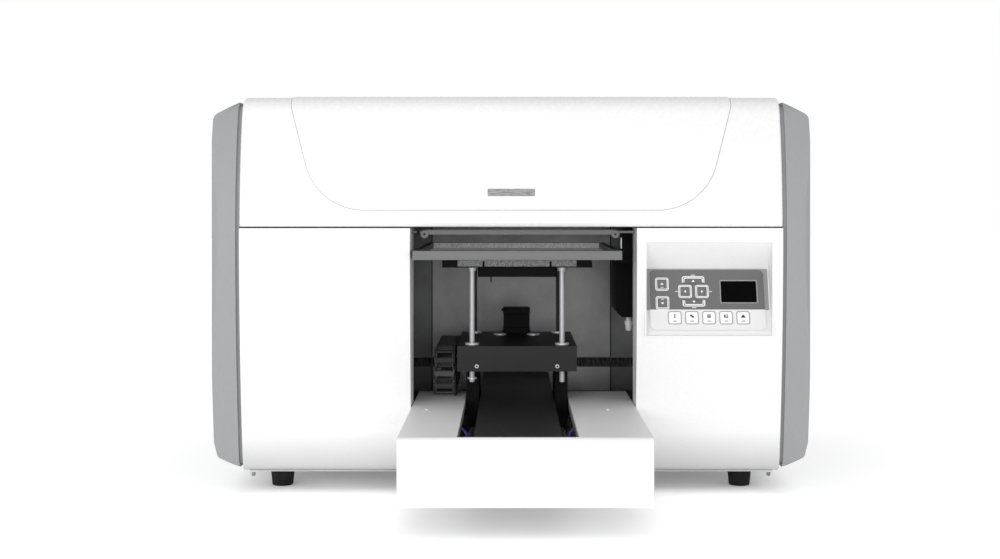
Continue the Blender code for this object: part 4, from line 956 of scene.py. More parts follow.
SYMBOLS = {
    "key_power": [
        moved(rectangle(2.0 * MM, 2.4 * MM), 0, 0.7 * MM), moved(rectangle(2.0 * MM, 2.4 * MM), 0, 3.9 * MM)
    ],
    "key_feed": [
        moved(rectangle(3.4 * MM, 2.6 * MM, 0.3 * MM), -1.0 * MM, 3.3 * MM),
        moved(rectangle(3.4 * MM, 2.6 * MM, 0.3 * MM), 1.1 * MM, 1.4 * MM),
    ],
    "key_clean": [moved(rectangle(5.4 * MM, 1.3 * MM), 0, step * 1.8 * MM + 0.5 * MM) for step in range(3)],
    "key_light": [
        moved(rectangle(2.2 * MM, 5.0 * MM), -1.9 * MM, 2.3 * MM),
        moved(rectangle(3.0 * MM, 2.1 * MM), 1.3 * MM, 0.9 * MM),
        moved(rectangle(2.0 * MM, 1.9 * MM), 1.6 * MM, 4.0 * MM),
    ],
    "key_print": [moved(triangle(3.8 * MM, 0), 0, 2.2 * MM)],
}
ARROWS = {
    "key_table_up": (0, 0.4), "key_table_down": (2, -0.6), "key_left": (1, 0.0), "key_right": (3, 0.0),
    "key_up": (0, -1.2), "key_down": (2, 1.2),
}


def inked(matrix, level, outlines, finish):
    """Printed shapes as very thin plates, lying at a level of a frame; a pair of outlines is a ring."""
    made = []
    for outline in outlines:
        holes = ()
        if isinstance(outline, tuple):
            outline, inner = outline
            holes = (inner,)
        made.append((placed(prism(outline, level - INK, level + INK, holes), matrix), finish))
    return made


def make_keypad():
    """Keypad plate: grey film above, light film below, printed rings and brackets, and the display window."""
    matrix = on_slope(middle("keypad_plate"))
    level = KEYPAD_HALF_DEPTH
    half_x, half_y = KEYPAD_SIZE[0] / 2, KEYPAD_SIZE[1] / 2
    spots = {}
    for node in frame["nodes"]:
        if node.startswith("key_") or node == "display_window":
            here = matrix.inverted() @ middle(node)
            spots[node] = (here.x, here.y)
    holes = [moved(rectangle(*[v + 0.7 * MM for v in DISPLAY_SIZE], 1.3 * MM), *spots["display_window"])]
    prints = []
    for node, (x, y) in spots.items():
        if node in LIGHT_KEYS or node == "display_window":
            continue
        size = KEY_WIDE if node in ("key_up", "key_down") else (KEY_SIDE, KEY_SIDE)
        holes.append(moved(rectangle(size[0] + 0.8 * MM, size[1] + 0.8 * MM, 2.4 * MM), x, y))
    solids = [(eased(node_mesh("keypad_plate"), 0.4 * MM), "light_membrane")]
    zone = rounded(
        [
            (-half_x, ZONE_EDGE, 0.0), (half_x, ZONE_EDGE, 0.0), (half_x, half_y, 8 * MM),
            (-half_x, half_y, 8 * MM)
        ],
        8
    )
    zone = offset(zone, -0.25 * MM)
    solids.append((placed(prism(zone, level - 0.1 * MM, level + 0.12 * MM, holes), matrix), "grey_membrane"))
    top = level + 0.12 * MM
    for node, (x, y) in spots.items():
        if node == "display_window":
            ring = ring_of(DISPLAY_SIZE[0] + 3.2 * MM, DISPLAY_SIZE[1] + 3.2 * MM, 2.0 * MM, 1.2 * MM)
            prints += inked(matrix, top, [tuple(moved(line, x, y) for line in ring)], "grey_print")
        elif node in LIGHT_KEYS:
            ring = ring_of(KEY_SIDE + 2.9 * MM, KEY_SIDE + 2.9 * MM, 3.4 * MM, 0.95 * MM)
            prints += inked(matrix, level, [tuple(moved(line, x, y) for line in ring)], "grey_print")
        elif node in ("key_up", "key_down"):
            side = 1 if node == "key_up" else -1
            shape = bracket(KEY_WIDE[0] + 3.6 * MM, 9.4 * MM, 1.3 * MM, side > 0)
            dash = moved(rectangle(6.0 * MM, 0.8 * MM), x, y + side * 7.6 * MM)
            prints += inked(matrix, top, [moved(shape, x, y - side * 3.6 * MM), dash], "white_print")
        else:
            ring = ring_of(KEY_SIDE + 2.7 * MM, KEY_SIDE + 2.7 * MM, 3.3 * MM, 0.9 * MM)
            prints += inked(matrix, top, [tuple(moved(line, x, y) for line in ring)], "white_print")
            if node in ("key_left", "key_right"):
                away = -12.4 * MM if node == "key_left" else 12.4 * MM
                prints += inked(
                    matrix, top, [moved(rectangle(4.0 * MM, 0.8 * MM), x + away, y)], "white_print"
                )
    # Sheets behind the plate, seen round its edge: the grey one above is painted shade for the deep upper part
    # of the recess, the light one below is the slope's own light grey.
    under = [
        (rectangle_between(-88.0 * MM, ZONE_EDGE, 88.0 * MM, half_y + 1.9 * MM), "grey_print"),
        (rectangle_between(-88.0 * MM, -half_y - 2.0 * MM, 88.0 * MM, ZONE_EDGE), "light_membrane"),
    ]
    for outline, finish in under:
        sheet = prism(outline, -level - 0.22 * MM, -level - 0.08 * MM)
        solids.append((placed(sheet, matrix), finish))
    piece("keypad_films", "root", solids + prints, ["keypad_plate"])
    window = eased(node_mesh("display_window"), 0.25 * MM)
    piece("display_glass", "root", [(window, "smoked_acrylic")], ["display_window"])


def make_keys():
    """Each key: a domed film cap with its printed ring, symbol and caption bar."""
    for node in sorted(n for n in frame["nodes"] if n.startswith("key_")):
        matrix = on_slope(middle(node))
        light = node in LIGHT_KEYS
        solids = [(eased(node_mesh(node), 0.35 * MM), "white_print" if light else "grey_membrane")]
        level = KEY_HALF_DEPTH
        if light:
            solids += inked(matrix, level, SYMBOLS[node], "black_print")
            solids += inked(
                matrix, level, [moved(rectangle(5.4 * MM, 1.1 * MM), 0, -4.9 * MM)], "black_print"
            )
        else:
            quarter, lift = ARROWS[node]
            solids += inked(matrix, level, [moved(triangle(2.3 * MM, quarter), 0, lift * MM)], "white_print")
            if node in ("key_up", "key_down"):
                shape = bracket(KEY_WIDE[0] - 1.0 * MM, 7.0 * MM, 1.2 * MM, node == "key_up")
                side = 1 if node == "key_up" else -1
                solids += inked(matrix, level, [moved(shape, 0, -side * 3.3 * MM)], "white_print")
            else:
                rings = [ring_of(KEY_SIDE - 0.9 * MM, KEY_SIDE - 0.9 * MM, 1.6 * MM, 1.0 * MM)]
                solids += inked(matrix, level, rings, "white_print")
                inner = ring_of(KEY_SIDE - 3.4 * MM, KEY_SIDE - 3.4 * MM, 1.0 * MM, 0.6 * MM)
                solids += inked(matrix, level, [inner], "moulded_black_nylon")
            if node.startswith("key_table"):
                down = -5.0 * MM if quarter == 0 else 5.0 * MM
                solids += inked(matrix, level, [moved(rectangle(3.4 * MM, 0.8 * MM), 0, down)], "white_print")
        piece(f"{node}_cap", node, solids, [node])


# --- Drag chain --------------------------------------------------------------

LINK_PITCH = 19.0 * MM


def link_template():
    """One moulded chain link along Y: two staggered side plates with pivots, and a bar above and below."""
    low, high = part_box("chain_floor_link")
    half = (high.x - low.x) / 2
    tall = (high.z - low.z) / 2
    parts = []
    for side in (-1, 1):
        for inner, reach in ((half - 2.3 * MM, 3.0), (half - 4.5 * MM, -3.0)):
            ear = rounded(
                [
                    ((reach - 7.6) * MM, 0.25 * MM - tall, 5.5 * MM),
                    ((reach + 7.6) * MM, 0.25 * MM - tall, 5.5 * MM),
                    ((reach + 7.6) * MM, tall - 0.25 * MM, 5.5 * MM),
                    ((reach - 7.6) * MM, tall - 0.25 * MM, 5.5 * MM),
                ],
                5,
            )
            wall = eased(prism(ear, 0.0, 2.2 * MM), 0.3 * MM, 1)
            turn = Matrix(((0, 0, 1, 0), (1, 0, 0, 0), (0, 1, 0, 0), (0, 0, 0, 1)))
            shift = inner if side > 0 else -inner - 2.2 * MM
            parts.append(placed(wall, Matrix.Translation((shift, 0.0, 0.0)) @ turn))
        pin = turned([(0.0, 0.0), (3.0 * MM, 0.0), (2.7 * MM, 0.3 * MM), (0.0, 0.3 * MM)], 16)
        parts.append(placed(pin, facing((side, 0, 0), (side * (half - 0.2 * MM), 5.6 * MM, 0.0))))
    for up in (-1, 1):
        bar = block((1.2 * MM - half, -3.9 * MM, tall - 2.4 * MM), (half - 1.2 * MM, 3.9 * MM, tall))
        if up < 0:
            bar.transform(Matrix.Rotation(math.pi, 4, "Y"))
        parts.append(eased(bar, 0.5 * MM))
    shape = bmesh.new()
    for part in parts:
        shape.from_mesh(part)
    mesh = bpy.data.meshes.new("chain_link")
    shape.to_mesh(mesh)
    shape.free()
    return mesh


def run_places(node):
    """One place per link along a straight run."""
    low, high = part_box(node)
    count = max(1, round((high.y - low.y) / LINK_PITCH))
    x, z = (low.x + high.x) / 2, (low.z + high.z) / 2
    step = (high.y - low.y) / count
    return [Matrix.Translation((x, low.y + step * (k + 0.5), z)) for k in range(count)]


def make_chain():
    """Drag chain: rigid links in the bend and at the floor, and two runs of links laid where the frame's runs
    stand.
    """
    low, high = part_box("chain_bend")
    pivot = Vector(((low.x + high.x) / 2, high.y, (low.z + high.z) / 2))
    upper_low, upper_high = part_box("chain_upper_run")
    away = (upper_low.z + upper_high.z) / 2 - pivot.z
    bends = []
    for k in range(5):
        angle = math.radians(18 + 36 * k)
        bends.append(
            Matrix.Translation(pivot) @ Matrix.Rotation(angle, 4, "X") @ Matrix.Translation((0.0, 0.0, away))
        )
    links = copies(link_template(), bends, "moulded_black_nylon")
    piece("chain_bend_links", "bend", [(links, "moulded_black_nylon")], ["chain_bend"])
    links = copies(link_template(), run_places("chain_floor_link"), "moulded_black_nylon")
    piece(
        "chain_floor_links", "floor_link", [(links, "moulded_black_nylon")],
        ["chain_floor_link"]
    )
    for node, first, second in (
        ("chain_upper_run", "bed", "bend"), ("chain_lower_run", "root", "floor_link")
    ):
        links = copies(link_template(), run_places(node), "moulded_black_nylon")
        run = temporary(links)
        run.name = f"{node}_links"
        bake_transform(run)
        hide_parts(node)
    anchor_low, anchor_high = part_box("chain_lower_run")
    plate = eased(
        block(
            (anchor_high.x + 0.6 * MM, low.y + 12 * MM, anchor_low.z - 0.2 * MM),
            (anchor_high.x + 1.8 * MM, high.y + 14 * MM, anchor_low.z + 30 * MM),
        ),
        0.3 * MM,
    )
    piece("chain_guard", "root", [(plate, "rolled_black_plate")])


# --- Lift and bed ------------------------------------------------------------


def bored_disc(radius, bore, thickness, finish_edge=0.4 * MM):
    """A flanged disc with a hole, seat at z = 0."""
    e = finish_edge
    return turned(
        [(bore, 0.0), (radius, 0.0), (radius, thickness - e), (radius - e, thickness), (bore, thickness)],
        32
    )


def make_lift_fittings():
    """Bright bush flanges on the block, its two clamp screws and the small discs by the motor."""
    low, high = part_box("lift_block")
    top = high.z - 2.5 * MM
    discs = []
    for node, bore in (
        ("guide_rod_left", 4.35), ("guide_rod_right", 4.35), ("lift_screw_left", 3.55),
        ("lift_screw_right", 3.55),
    ):
        place = middle(node)
        disc = bored_disc(10.2 * MM, bore * MM, 2.75 * MM)
        discs.append((placed(disc, Matrix.Translation((place.x, place.y, top))), "zinc_fastener_steel"))
    motor_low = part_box("lift_motor")[0]
    for side in (-1, 1):
        x = middle("lift_motor").x + side * 26.2 * MM
        disc = bored_disc(10.0 * MM, 1.6 * MM, 1.9 * MM)
        place = Matrix.Translation((x, motor_low.y - 11.5 * MM, top - 0.05 * MM))
        discs.append((placed(disc, place), "zinc_fastener_steel"))
    piece("bush_flanges", "bed", discs)
    screws = []
    for side in (-1, 1):
        x = middle("lift_block").x + side * 58.0 * MM
        place = (x, low.y + 0.1 * MM, low.z + 7.5 * MM)
        ring = bored_disc(2.8 * MM, 1.7 * MM, 0.9 * MM, 0.3 * MM)
        screws.append((placed(ring, facing((0, -1, 0), place)), "zinc_fastener_steel"))
        screws.append(
            (placed(cap_screw(1.75 * MM, 0.5 * MM), facing((0, -1, 0), place)), "moulded_black_abs")
        )
    piece("block_screws", "bed", screws)


def make_rods():
    """Guide rods with their clamp collars and nuts, the stop disc, and threads on the lift screws."""
    for end in ("left", "right"):
        node = f"guide_rod_{end}"
        low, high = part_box(node)
        x, y = middle(node).x, middle(node).y
        rod = 4.0 * MM
        collar = (high.x - low.x) / 2
        top = high.z
        profile = [
            (0.0, low.z), (rod - 0.5 * MM, low.z), (rod, low.z + 0.5 * MM),
            (rod, top - 5.9 * MM), (collar - 0.9 * MM, top - 5.9 * MM), (collar - 0.4 * MM, top - 5.3 * MM),
            (collar - 0.4 * MM, top - 3.6 * MM), (collar, top - 3.4 * MM), (collar, top - 0.7 * MM),
            (collar - 0.5 * MM, top - 0.1 * MM), (0.0, top - 0.1 * MM),
        ]
        solids = [(placed(turned(profile, 40), Matrix.Translation((x, y, 0.0))), "ground_shaft_steel")]
        if end == "left":
            disc = bored_disc(collar, rod - 0.2 * MM, 2.2 * MM)
            place = Matrix.Translation((x, y, low.z + 4.8 * MM))
            solids.append((placed(disc, place), "zinc_fastener_steel"))
        piece(f"{node}_turned", "lift", solids, [node])
        node = f"lift_screw_{end}"
        low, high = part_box(node)
        outer = (high.x - low.x) / 2
        profile = [(0.0, low.z), (outer - 0.6 * MM, low.z)]
        count = int((high.z - low.z) / (2.0 * MM))
        for k in range(count):
            base = low.z + 2.0 * MM * k
            profile += [
                (outer - 0.6 * MM, base + 0.2 * MM), (outer, base + 0.6 * MM),
                (outer, base + 1.2 * MM), (outer - 0.6 * MM, base + 1.6 * MM),
            ]
        profile += [(outer - 0.6 * MM, high.z - 0.1 * MM), (0.0, high.z - 0.1 * MM)]
        screw = placed(turned(profile, 20), Matrix.Translation((middle(node).x, middle(node).y, 0.0)))
        piece(f"{node}_thread", "lift", [(screw, "rolled_black_plate")], [node])


def stepper(node, shaft_face):
    """A stepper motor in a box's place: laminated middle, set in a little, between two end caps."""
    low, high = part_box(node)
    axis = max(range(3), key=lambda k: abs(shaft_face[k]))
    size = high - low
    solids = []
    for start, end, finish, inset in (
        (0.0, 0.24, "moulded_black_abs", 0.0), (0.24, 0.76, "moulded_black_abs", 0.5 * MM),
        (0.76, 1.0, "moulded_black_abs", 0.0),
    ):
        first = Vector([low[k] + (start * size[k] if k == axis else inset) for k in range(3)])
        second = Vector([low[k] + end * size[k] if k == axis else high[k] - inset for k in range(3)])
        solids.append((eased(block(first, second), 1.2 * MM if inset == 0.0 else 0.3 * MM), finish))
    return solids


def make_motors():
    """The three motors, with screws, a cable plug and the lift motor's mounting feet."""
    low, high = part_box("lift_motor")
    solids = stepper("lift_motor", (0, 0, 1))
    tab = block(
        (low.x - 2.6 * MM, low.y + 1.0 * MM, high.z - 4.2 * MM),
        (low.x + 2.0 * MM, low.y + 9 * MM, high.z - 0.4 * MM)
    )
    solids.append((eased(tab, 0.4 * MM), "moulded_black_abs"))
    feet = block(
        (low.x - 3.0 * MM, low.y + 0.5 * MM, low.z),
        (high.x + 3.0 * MM, high.y - 0.5 * MM, low.z + 2.2 * MM)
    )
    solids.append((eased(feet, 0.4 * MM), "rolled_black_plate"))
    piece("lift_motor_body", "bed", solids, ["lift_motor"])
    piece("bed_motor_body", "root", stepper("bed_motor", (1, 0, 0)), ["bed_motor"])
    solids = [(eased(node_mesh("head_motor"), 0.6 * MM), "moulded_black_abs")]
    low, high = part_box("head_motor")
    screws = [
        Matrix.Translation((x, y, high.z)) for x in (low.x + 5 * MM, high.x - 5 * MM)
        for y in (low.y + 5 * MM, high.y - 5 * MM)
    ]
    solids.append(
        (copies(cap_screw(2.4 * MM, 1.6 * MM), screws, "zinc_fastener_steel"), "zinc_fastener_steel")
    )
    piece("head_motor_body", "root", solids, ["head_motor"])


def make_table_details():
    """Sand-textured cover on the frame's front bar with two notches, and the small pin under the tie."""
    low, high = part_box("lift_frame")
    centre = (low.x + high.x) / 2
    half = 85.6 * MM
    bottom = high.z - 11.4 * MM
    outline = [(-half, bottom), (half, bottom), (half, high.z - 0.2 * MM), (-half, high.z - 0.2 * MM)]
    notch = 1.6 * MM
    lower = []
    for x in (-48.2 * MM, 48.2 * MM):
        lower += [
            (x - notch, bottom), (x - notch, bottom + 7.5 * MM), (x + notch, bottom + 7.5 * MM),
            (x + notch, bottom)
        ]
    outline = [Vector(p) for p in [outline[0], *lower, *outline[1:]]]
    strip = prism(outline, 0.0, 0.9 * MM)
    turn = Matrix(((1, 0, 0, centre), (0, 0, -1, low.y - 0.02 * MM), (0, 1, 0, 0), (0, 0, 0, 1)))
    pin = turned(
        [(0.0, 0.0), (0.7 * MM, 0.0), (0.9 * MM, 0.5 * MM), (0.9 * MM, 9.0 * MM), (0.0, 9.0 * MM)], 12
    )
    pin_place = Matrix.Translation((centre - 38 * MM, low.y + 35.5 * MM, low.z - 8.0 * MM))
    table_low, table_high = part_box("print_table")
    floor = table_low.z + 2.5 * MM
    mat = block(
        (table_low.x + 9.6 * MM, table_low.y + 9.6 * MM, floor + 0.05 * MM),
        (table_high.x - 9.6 * MM, table_high.y - 9.6 * MM, floor + 2.2 * MM),
    )
    stop = block(
        (table_low.x + 9.4 * MM, table_high.y - 9.3 * MM, floor + 0.1 * MM),
        (table_high.x - 9.4 * MM, table_high.y - 8.8 * MM, table_high.z - 0.3 * MM),
    )
    # Painted light: the mat and the stop glow faintly; the stop up the tray's inner back face also stands in
    # for the tray's bright back edge, a painted highlight.
    mats = [(eased(mat, 0.4 * MM), "bed_mat"), (stop, "bed_mat")]
    piece("table_mat", "lift", mats)
    piece(
        "frame_trim",
        "lift",
        [
            (placed(eased(strip, 0.25 * MM, 1), turn), "sand_textured_paint"),
            (placed(pin, pin_place), "moulded_black_abs")
        ],
    )


# --- Chamber and deck --------------------------------------------------------


def make_chamber_details():
    """Liner between the two seams, the cable slot's bright fold and brush, and the station's hose barb."""
    low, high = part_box("chamber_back_wall")
    centre = (low.x + high.x) / 2
    liner = 153.4 * MM
    slot_low, slot_high = 127 * MM, 143 * MM
    face = low.y
    sheets = []
    for bottom, top in ((low.z + 1 * MM, slot_low), (slot_high, high.z - 1 * MM)):
        sheet = block((centre - liner, face - 0.9 * MM, bottom), (centre + liner, face + 0.1 * MM, top))
        sheets.append((eased(sheet, 0.3 * MM), "zinc_plated_sheet"))
    for side in (-1, 1):
        seam = block(
            (centre + side * (liner + 0.9 * MM) - 0.7 * MM, face - 0.35 * MM, low.z + 1 * MM),
            (centre + side * (liner + 0.9 * MM) + 0.7 * MM, face + 0.1 * MM, high.z - 1 * MM),
        )
        sheets.append((seam, "moulded_black_abs"))
    fold = block(
        (low.x + 1 * MM, face - 2.6 * MM, slot_high),
        (high.x - 1 * MM, face - 1.0 * MM, slot_high + 1.1 * MM)
    )
    sheets.append((eased(fold, 0.4 * MM), "dull_zinc_edge"))
    piece("chamber_liner", "root", sheets)
    backing = block(
        (low.x + 1 * MM, face - 0.8 * MM, slot_low), (high.x - 1 * MM, face - 0.2 * MM, slot_high)
    )
    fibre = turned([(0.0, 0.0), (0.45 * MM, 0.0), (0.3 * MM, 16.2 * MM), (0.0, 16.2 * MM)], 5)
    places = []
    spread = high.x - low.x - 4 * MM
    count = 680
    for k in range(count):
        wave = math.sin(k * 12.9898) * 0.5
        x = low.x + 2 * MM + spread * (k + 0.5) / count
        lean = Matrix.Rotation(0.10 * wave, 4, "Y")
        places.append(
            Matrix.Translation(
                (x, face - 1.2 * MM + 0.4 * MM * math.cos(k * 7.31), slot_low - 0.1 * MM)
            ) @ lean
        )
    fibres = copies(fibre, places, "brush_fibre")
    piece("cable_brush", "root", [(backing, "moulded_black_abs"), (fibres, "brush_fibre")])
    station_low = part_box("capping_station")[0]
    profile = [(0.0, 0.0), (4.0 * MM, 0.0), (5.2 * MM, 3.0 * MM), (4.4 * MM, 3.0 * MM), (5.4 * MM, 7.0 * MM)]
    profile += [
        (4.6 * MM, 7.0 * MM), (4.6 * MM, 9 * MM), (6.2 * MM, 9 * MM), (6.2 * MM, 15 * MM),
        (4.0 * MM, 15 * MM)
    ]
    profile += [(4.0 * MM, 24 * MM), (0.0, 24 * MM)]
    barb = placed(turned(profile, 24), Matrix.Translation((181 * MM, 28 * MM, station_low.z - 23.5 * MM)))
    piece("hose_barb", "root", [(barb, "white_print")])


def make_seam():
    """Black strip in the seam between the hood and the fixed covers: painted shade that keeps the gap dark."""
    low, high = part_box("hood")
    left_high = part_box("front_cover_left")[1]
    right_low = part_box("front_cover_right")[0]
    parts = []
    for first, last in ((low.x + 1 * MM, left_high.x - 1 * MM), (right_low.x + 1 * MM, high.x - 1 * MM)):
        part = block(
            (first, low.y + 1.0 * MM, SEAM_HEIGHT + 0.1 * MM), (last, low.y + 7 * MM, low.z - 0.25 * MM)
        )
        parts.append((part, "moulded_black_abs"))
    piece("seam_gasket", "root", parts)


def hose_path(side):
    """A hose beside the centre plate: bowed inwards once, in front of the slide bearings' travel."""
    centre = sum(DECK_SLOT) / 2
    steps = 24
    path = []
    for k in range(steps + 1):
        share = k / steps
        across = 73.2 * MM - 8.5 * MM * math.sin(math.pi * share)
        path.append((centre + side * across, HOSE_BACK - HOSE_REACH * share, HOSE_TOP - HOSE_FALL * share))
    return path


def make_deck_details():
    """Folded edges of the deck's slot, deck screws, the centre plate's two ribs and the navy hoses."""
    low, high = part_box("bed_housing")
    rail_low, rail_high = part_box("rail_bed")
    deck = high.z
    solids = []
    for edge, side in zip(DECK_SLOT, (-1, 1)):
        a, b = sorted((edge, edge + side * 1.2 * MM))
        fold = block((a, low.y + 8 * MM, deck - 15 * MM), (b, high.y - 201 * MM, deck - 2.1 * MM))
        solids.append((eased(fold, 0.3 * MM), "dull_zinc_edge"))
    places = [Matrix.Translation((x, DECK_SCREW_PLACE, deck)) for x in DECK_SCREWS]
    solids.append((copies(pan_screw(2.6 * MM, 1.3 * MM), places, "white_print"), "white_print"))
    piece("deck_trim", "root", solids)
    centre = (rail_low.x + rail_high.x) / 2
    ribs = []
    for side in (-1, 1):
        x = centre + side * 20.5 * MM
        rib = block(
            (x - 0.5 * MM, rail_low.y + 2 * MM, rail_high.z - 0.2 * MM),
            (x + 0.5 * MM, -300 * MM, rail_high.z + 0.35 * MM)
        )
        ribs.append((eased(rib, 0.25 * MM), "rolled_black_plate"))
    piece("plate_ribs", "root", ribs)
    pipes = [(tube(hose_path(side), 1.9 * MM), "navy_hose") for side in (-1, 1)]
    piece("navy_pipes", "root", pipes)


# --- Top of the opening and print head ---------------------------------------


def make_top_details():
    """Black lug centres, the cross-shaped clip and the thin rod beside the tie bar."""
    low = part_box("tie_bar")[0]
    solids = []
    height = TIE_LUG_HEIGHT
    for x in TIE_LUGS:
        dark = turned([(0.0, 0.0), (1.5 * MM, 0.0), (1.5 * MM, 0.5 * MM), (0.0, 0.5 * MM)], 16)
        solids.append((placed(dark, facing((0, -1, 0), (x, low.y - 0.05 * MM, height))), "moulded_black_abs"))
    for turn in (-1, 1):
        arm = block((-5.2 * MM, 0.0, -0.7 * MM), (5.2 * MM, 1.2 * MM, 0.7 * MM))
        arm.transform(
            Matrix.Translation(
                (TIE_LUGS[0] - 9 * MM, low.y + 3.5 * MM, height + 3 * MM)
            ) @ Matrix.Rotation(turn * 0.9, 4, "Y")
        )
        solids.append((arm, "moulded_black_abs"))
    rod = turned([(0.0, 0.0), (0.9 * MM, 0.0), (0.9 * MM, 15.5 * MM), (0.0, 15.5 * MM)], 12)
    solids.append(
        (
            placed(rod, Matrix.Translation((TIE_LUGS[1] + 8.5 * MM, low.y + 4 * MM, 345.5 * MM))),
            "zinc_fastener_steel"
        )
    )
    piece("tie_bar_fittings", "root", solids)


def make_head_details():
    """Dampers on the print head, the lamp's fins and window, carriage screws and the station's pads."""
    low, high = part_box("print_head")
    width = (high.x - low.x - 6 * MM) / 6
    dampers = []
    for k in range(6):
        x = low.x + 3 * MM + width * k
        body = block(
            (x + 0.4 * MM, low.y + 4 * MM, high.z - 2 * MM),
            (x + width - 0.4 * MM, high.y - 6 * MM, high.z + 13 * MM)
        )
        dampers.append((eased(body, 0.8 * MM), "clear_damper"))
        neck = turned(
            [(0.0, 0.0), (1.6 * MM, 0.0), (1.6 * MM, 4.5 * MM), (1.1 * MM, 5.0 * MM), (0.0, 5.0 * MM)], 14
        )
        place = Matrix.Translation((x + width / 2, low.y + 9 * MM, high.z + 12.8 * MM))
        dampers.append((placed(neck, place), "moulded_black_abs"))
    piece("ink_dampers", "head", dampers)
    low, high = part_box("curing_lamp")
    fins = []
    for k in range(7):
        y = low.y + 5 * MM + k * 4.6 * MM
        fin = block(
            (low.x + 1.5 * MM, y, high.z - 1 * MM), (high.x - 1.5 * MM, y + 1.4 * MM, high.z + 6 * MM)
        )
        fins.append((eased(fin, 0.3 * MM), "blasted_aluminium"))
    glass = block(
        (low.x + 2 * MM, low.y + 4 * MM, low.z - 0.5 * MM),
        (high.x - 2 * MM, high.y - 5 * MM, low.z + 0.3 * MM)
    )
    fins.append((eased(glass, 0.2 * MM), "lamp_glass"))
    piece("lamp_fins", "head", fins)
    low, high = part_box("head_carriage")
    places = [
        facing((0, -1, 0), (x, low.y, z)) for x in (low.x + 7 * MM, high.x - 7 * MM)
        for z in (low.z + 58 * MM, high.z - 7 * MM)
    ]
    screws = copies(cap_screw(), places, "zinc_fastener_steel")
    clip = eased(
        block(
            (low.x + 18 * MM, low.y + 3 * MM, high.z - 0.5 * MM),
            (low.x + 40 * MM, high.y - 3 * MM, high.z + 5 * MM)
        ),
        0.6 * MM
    )
    piece(
        "carriage_screws", "head",
        [(screws, "zinc_fastener_steel"), (clip, "moulded_black_nylon")]
    )
    low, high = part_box("capping_station")
    pads = []
    for y in (middle("capping_station").y + 2 * MM,):
        pad = block(
            (low.x + 12 * MM, y - 16 * MM, high.z - 0.2 * MM),
            (high.x - 12 * MM, y + 16 * MM, high.z + 0.5 * MM)
        )
        pads.append((eased(pad, 0.2 * MM), "absorbent_foam"))
    piece("capping_pad", "root", pads)


# --- Feet and back -----------------------------------------------------------


def make_feet():
    """Moulded rubber feet with a raised base ring, and a bright adjuster under each corner of the covers."""
    for name in ("foot_front_left", "foot_front_right", "foot_rear_left", "foot_rear_right"):
        low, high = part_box(name)
        place = middle(name)
        top = (high.x - low.x) / 2
        profile = [
            (0.0, 0.0), (13.4 * MM, 0.0), (14.6 * MM, 0.5 * MM), (15.2 * MM, 2.0 * MM),
            (top - 0.9 * MM, high.z - 3 * MM),
            (top, high.z - 2.4 * MM), (top, high.z - 0.2 * MM), (0.0, high.z - 0.2 * MM),
        ]
        foot = placed(turned(profile, 40), Matrix.Translation((place.x, place.y, 0.0)))
        piece(f"{name}_rubber", "root", [(foot, "moulded_rubber")], [name])
    cover_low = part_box("front_cover_left")[0]
    cover_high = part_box("front_cover_right")[1]
    tips = []
    for x in (cover_low.x + 19.5 * MM, cover_high.x - 19.5 * MM):
        tip = turned(
            [(0.0, 0.0), (1.4 * MM, 0.0), (3.0 * MM, 1.6 * MM), (3.0 * MM, 5.0 * MM), (0.0, 5.0 * MM)], 16
        )
        place = (x, cover_low.y + 9 * MM, cover_low.z - 2.6 * MM)
        tips.append((placed(tip, Matrix.Translation(place)), "sand_textured_paint"))
    piece("cover_adjusters", "root", tips)


def make_rear_details():
    """Mains inlet with its three pins, the rocker, and screws round the back plate."""
    low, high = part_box("mains_inlet")
    x, z = (low.x + high.x) / 2, (low.z + high.z) / 2
    solids = [(eased(node_mesh("mains_inlet"), 0.8 * MM), "moulded_black_abs")]
    for dx, dz in ((-7.0, -17.0), (0.0, -13.0), (7.0, -17.0)):
        pin = block((-2.0 * MM, -1.0 * MM, 0.0), (2.0 * MM, 1.0 * MM, 15 * MM))
        pin.transform(
            facing(
                (0, 1, 0), (x + dx * MM, high.y - 20 * MM, z + dz * MM)
            ) @ Matrix.Rotation(math.pi / 2, 4, "Z")
        )
        solids.append((eased(pin, 0.4 * MM), "brass"))
    places = [facing((0, 1, 0), (x + side * 20.5 * MM, high.y - 0.2 * MM, z)) for side in (-1, 1)]
    solids.append(
        (copies(pan_screw(2.6 * MM, 1.4 * MM), places, "zinc_fastener_steel"), "zinc_fastener_steel")
    )
    piece("inlet_body", "root", solids, ["mains_inlet"])
    low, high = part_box("rocker_switch")
    rocker = [(eased(node_mesh("rocker_switch"), 0.5 * MM), "moulded_black_abs")]
    piece("rocker_cap", "rocker", rocker, ["rocker_switch"])
    low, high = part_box("rear_cover")
    rows = [low.z + 14 * MM, (low.z + high.z) / 2, high.z - 26 * MM]
    columns = [low.x + 14 * MM, 0.0, high.x - 14 * MM]
    skirt = block((low.x + 3 * MM, high.y - 4.6 * MM, 18 * MM), (high.x - 3 * MM, high.y - 3.2 * MM, 42 * MM))
    piece("rear_skirt", "root", [(skirt, "moulded_rubber")])
    places = [
        facing((0, 1, 0), (a, high.y - 0.2 * MM, b)) for a in columns for b in rows if a or b != rows[1]
    ]
    screws = copies(pan_screw(3.2 * MM, 1.5 * MM), places, "zinc_fastener_steel")
    piece("back_screws", "root", [(screws, "zinc_fastener_steel")])


# --- Setting -----------------------------------------------------------------


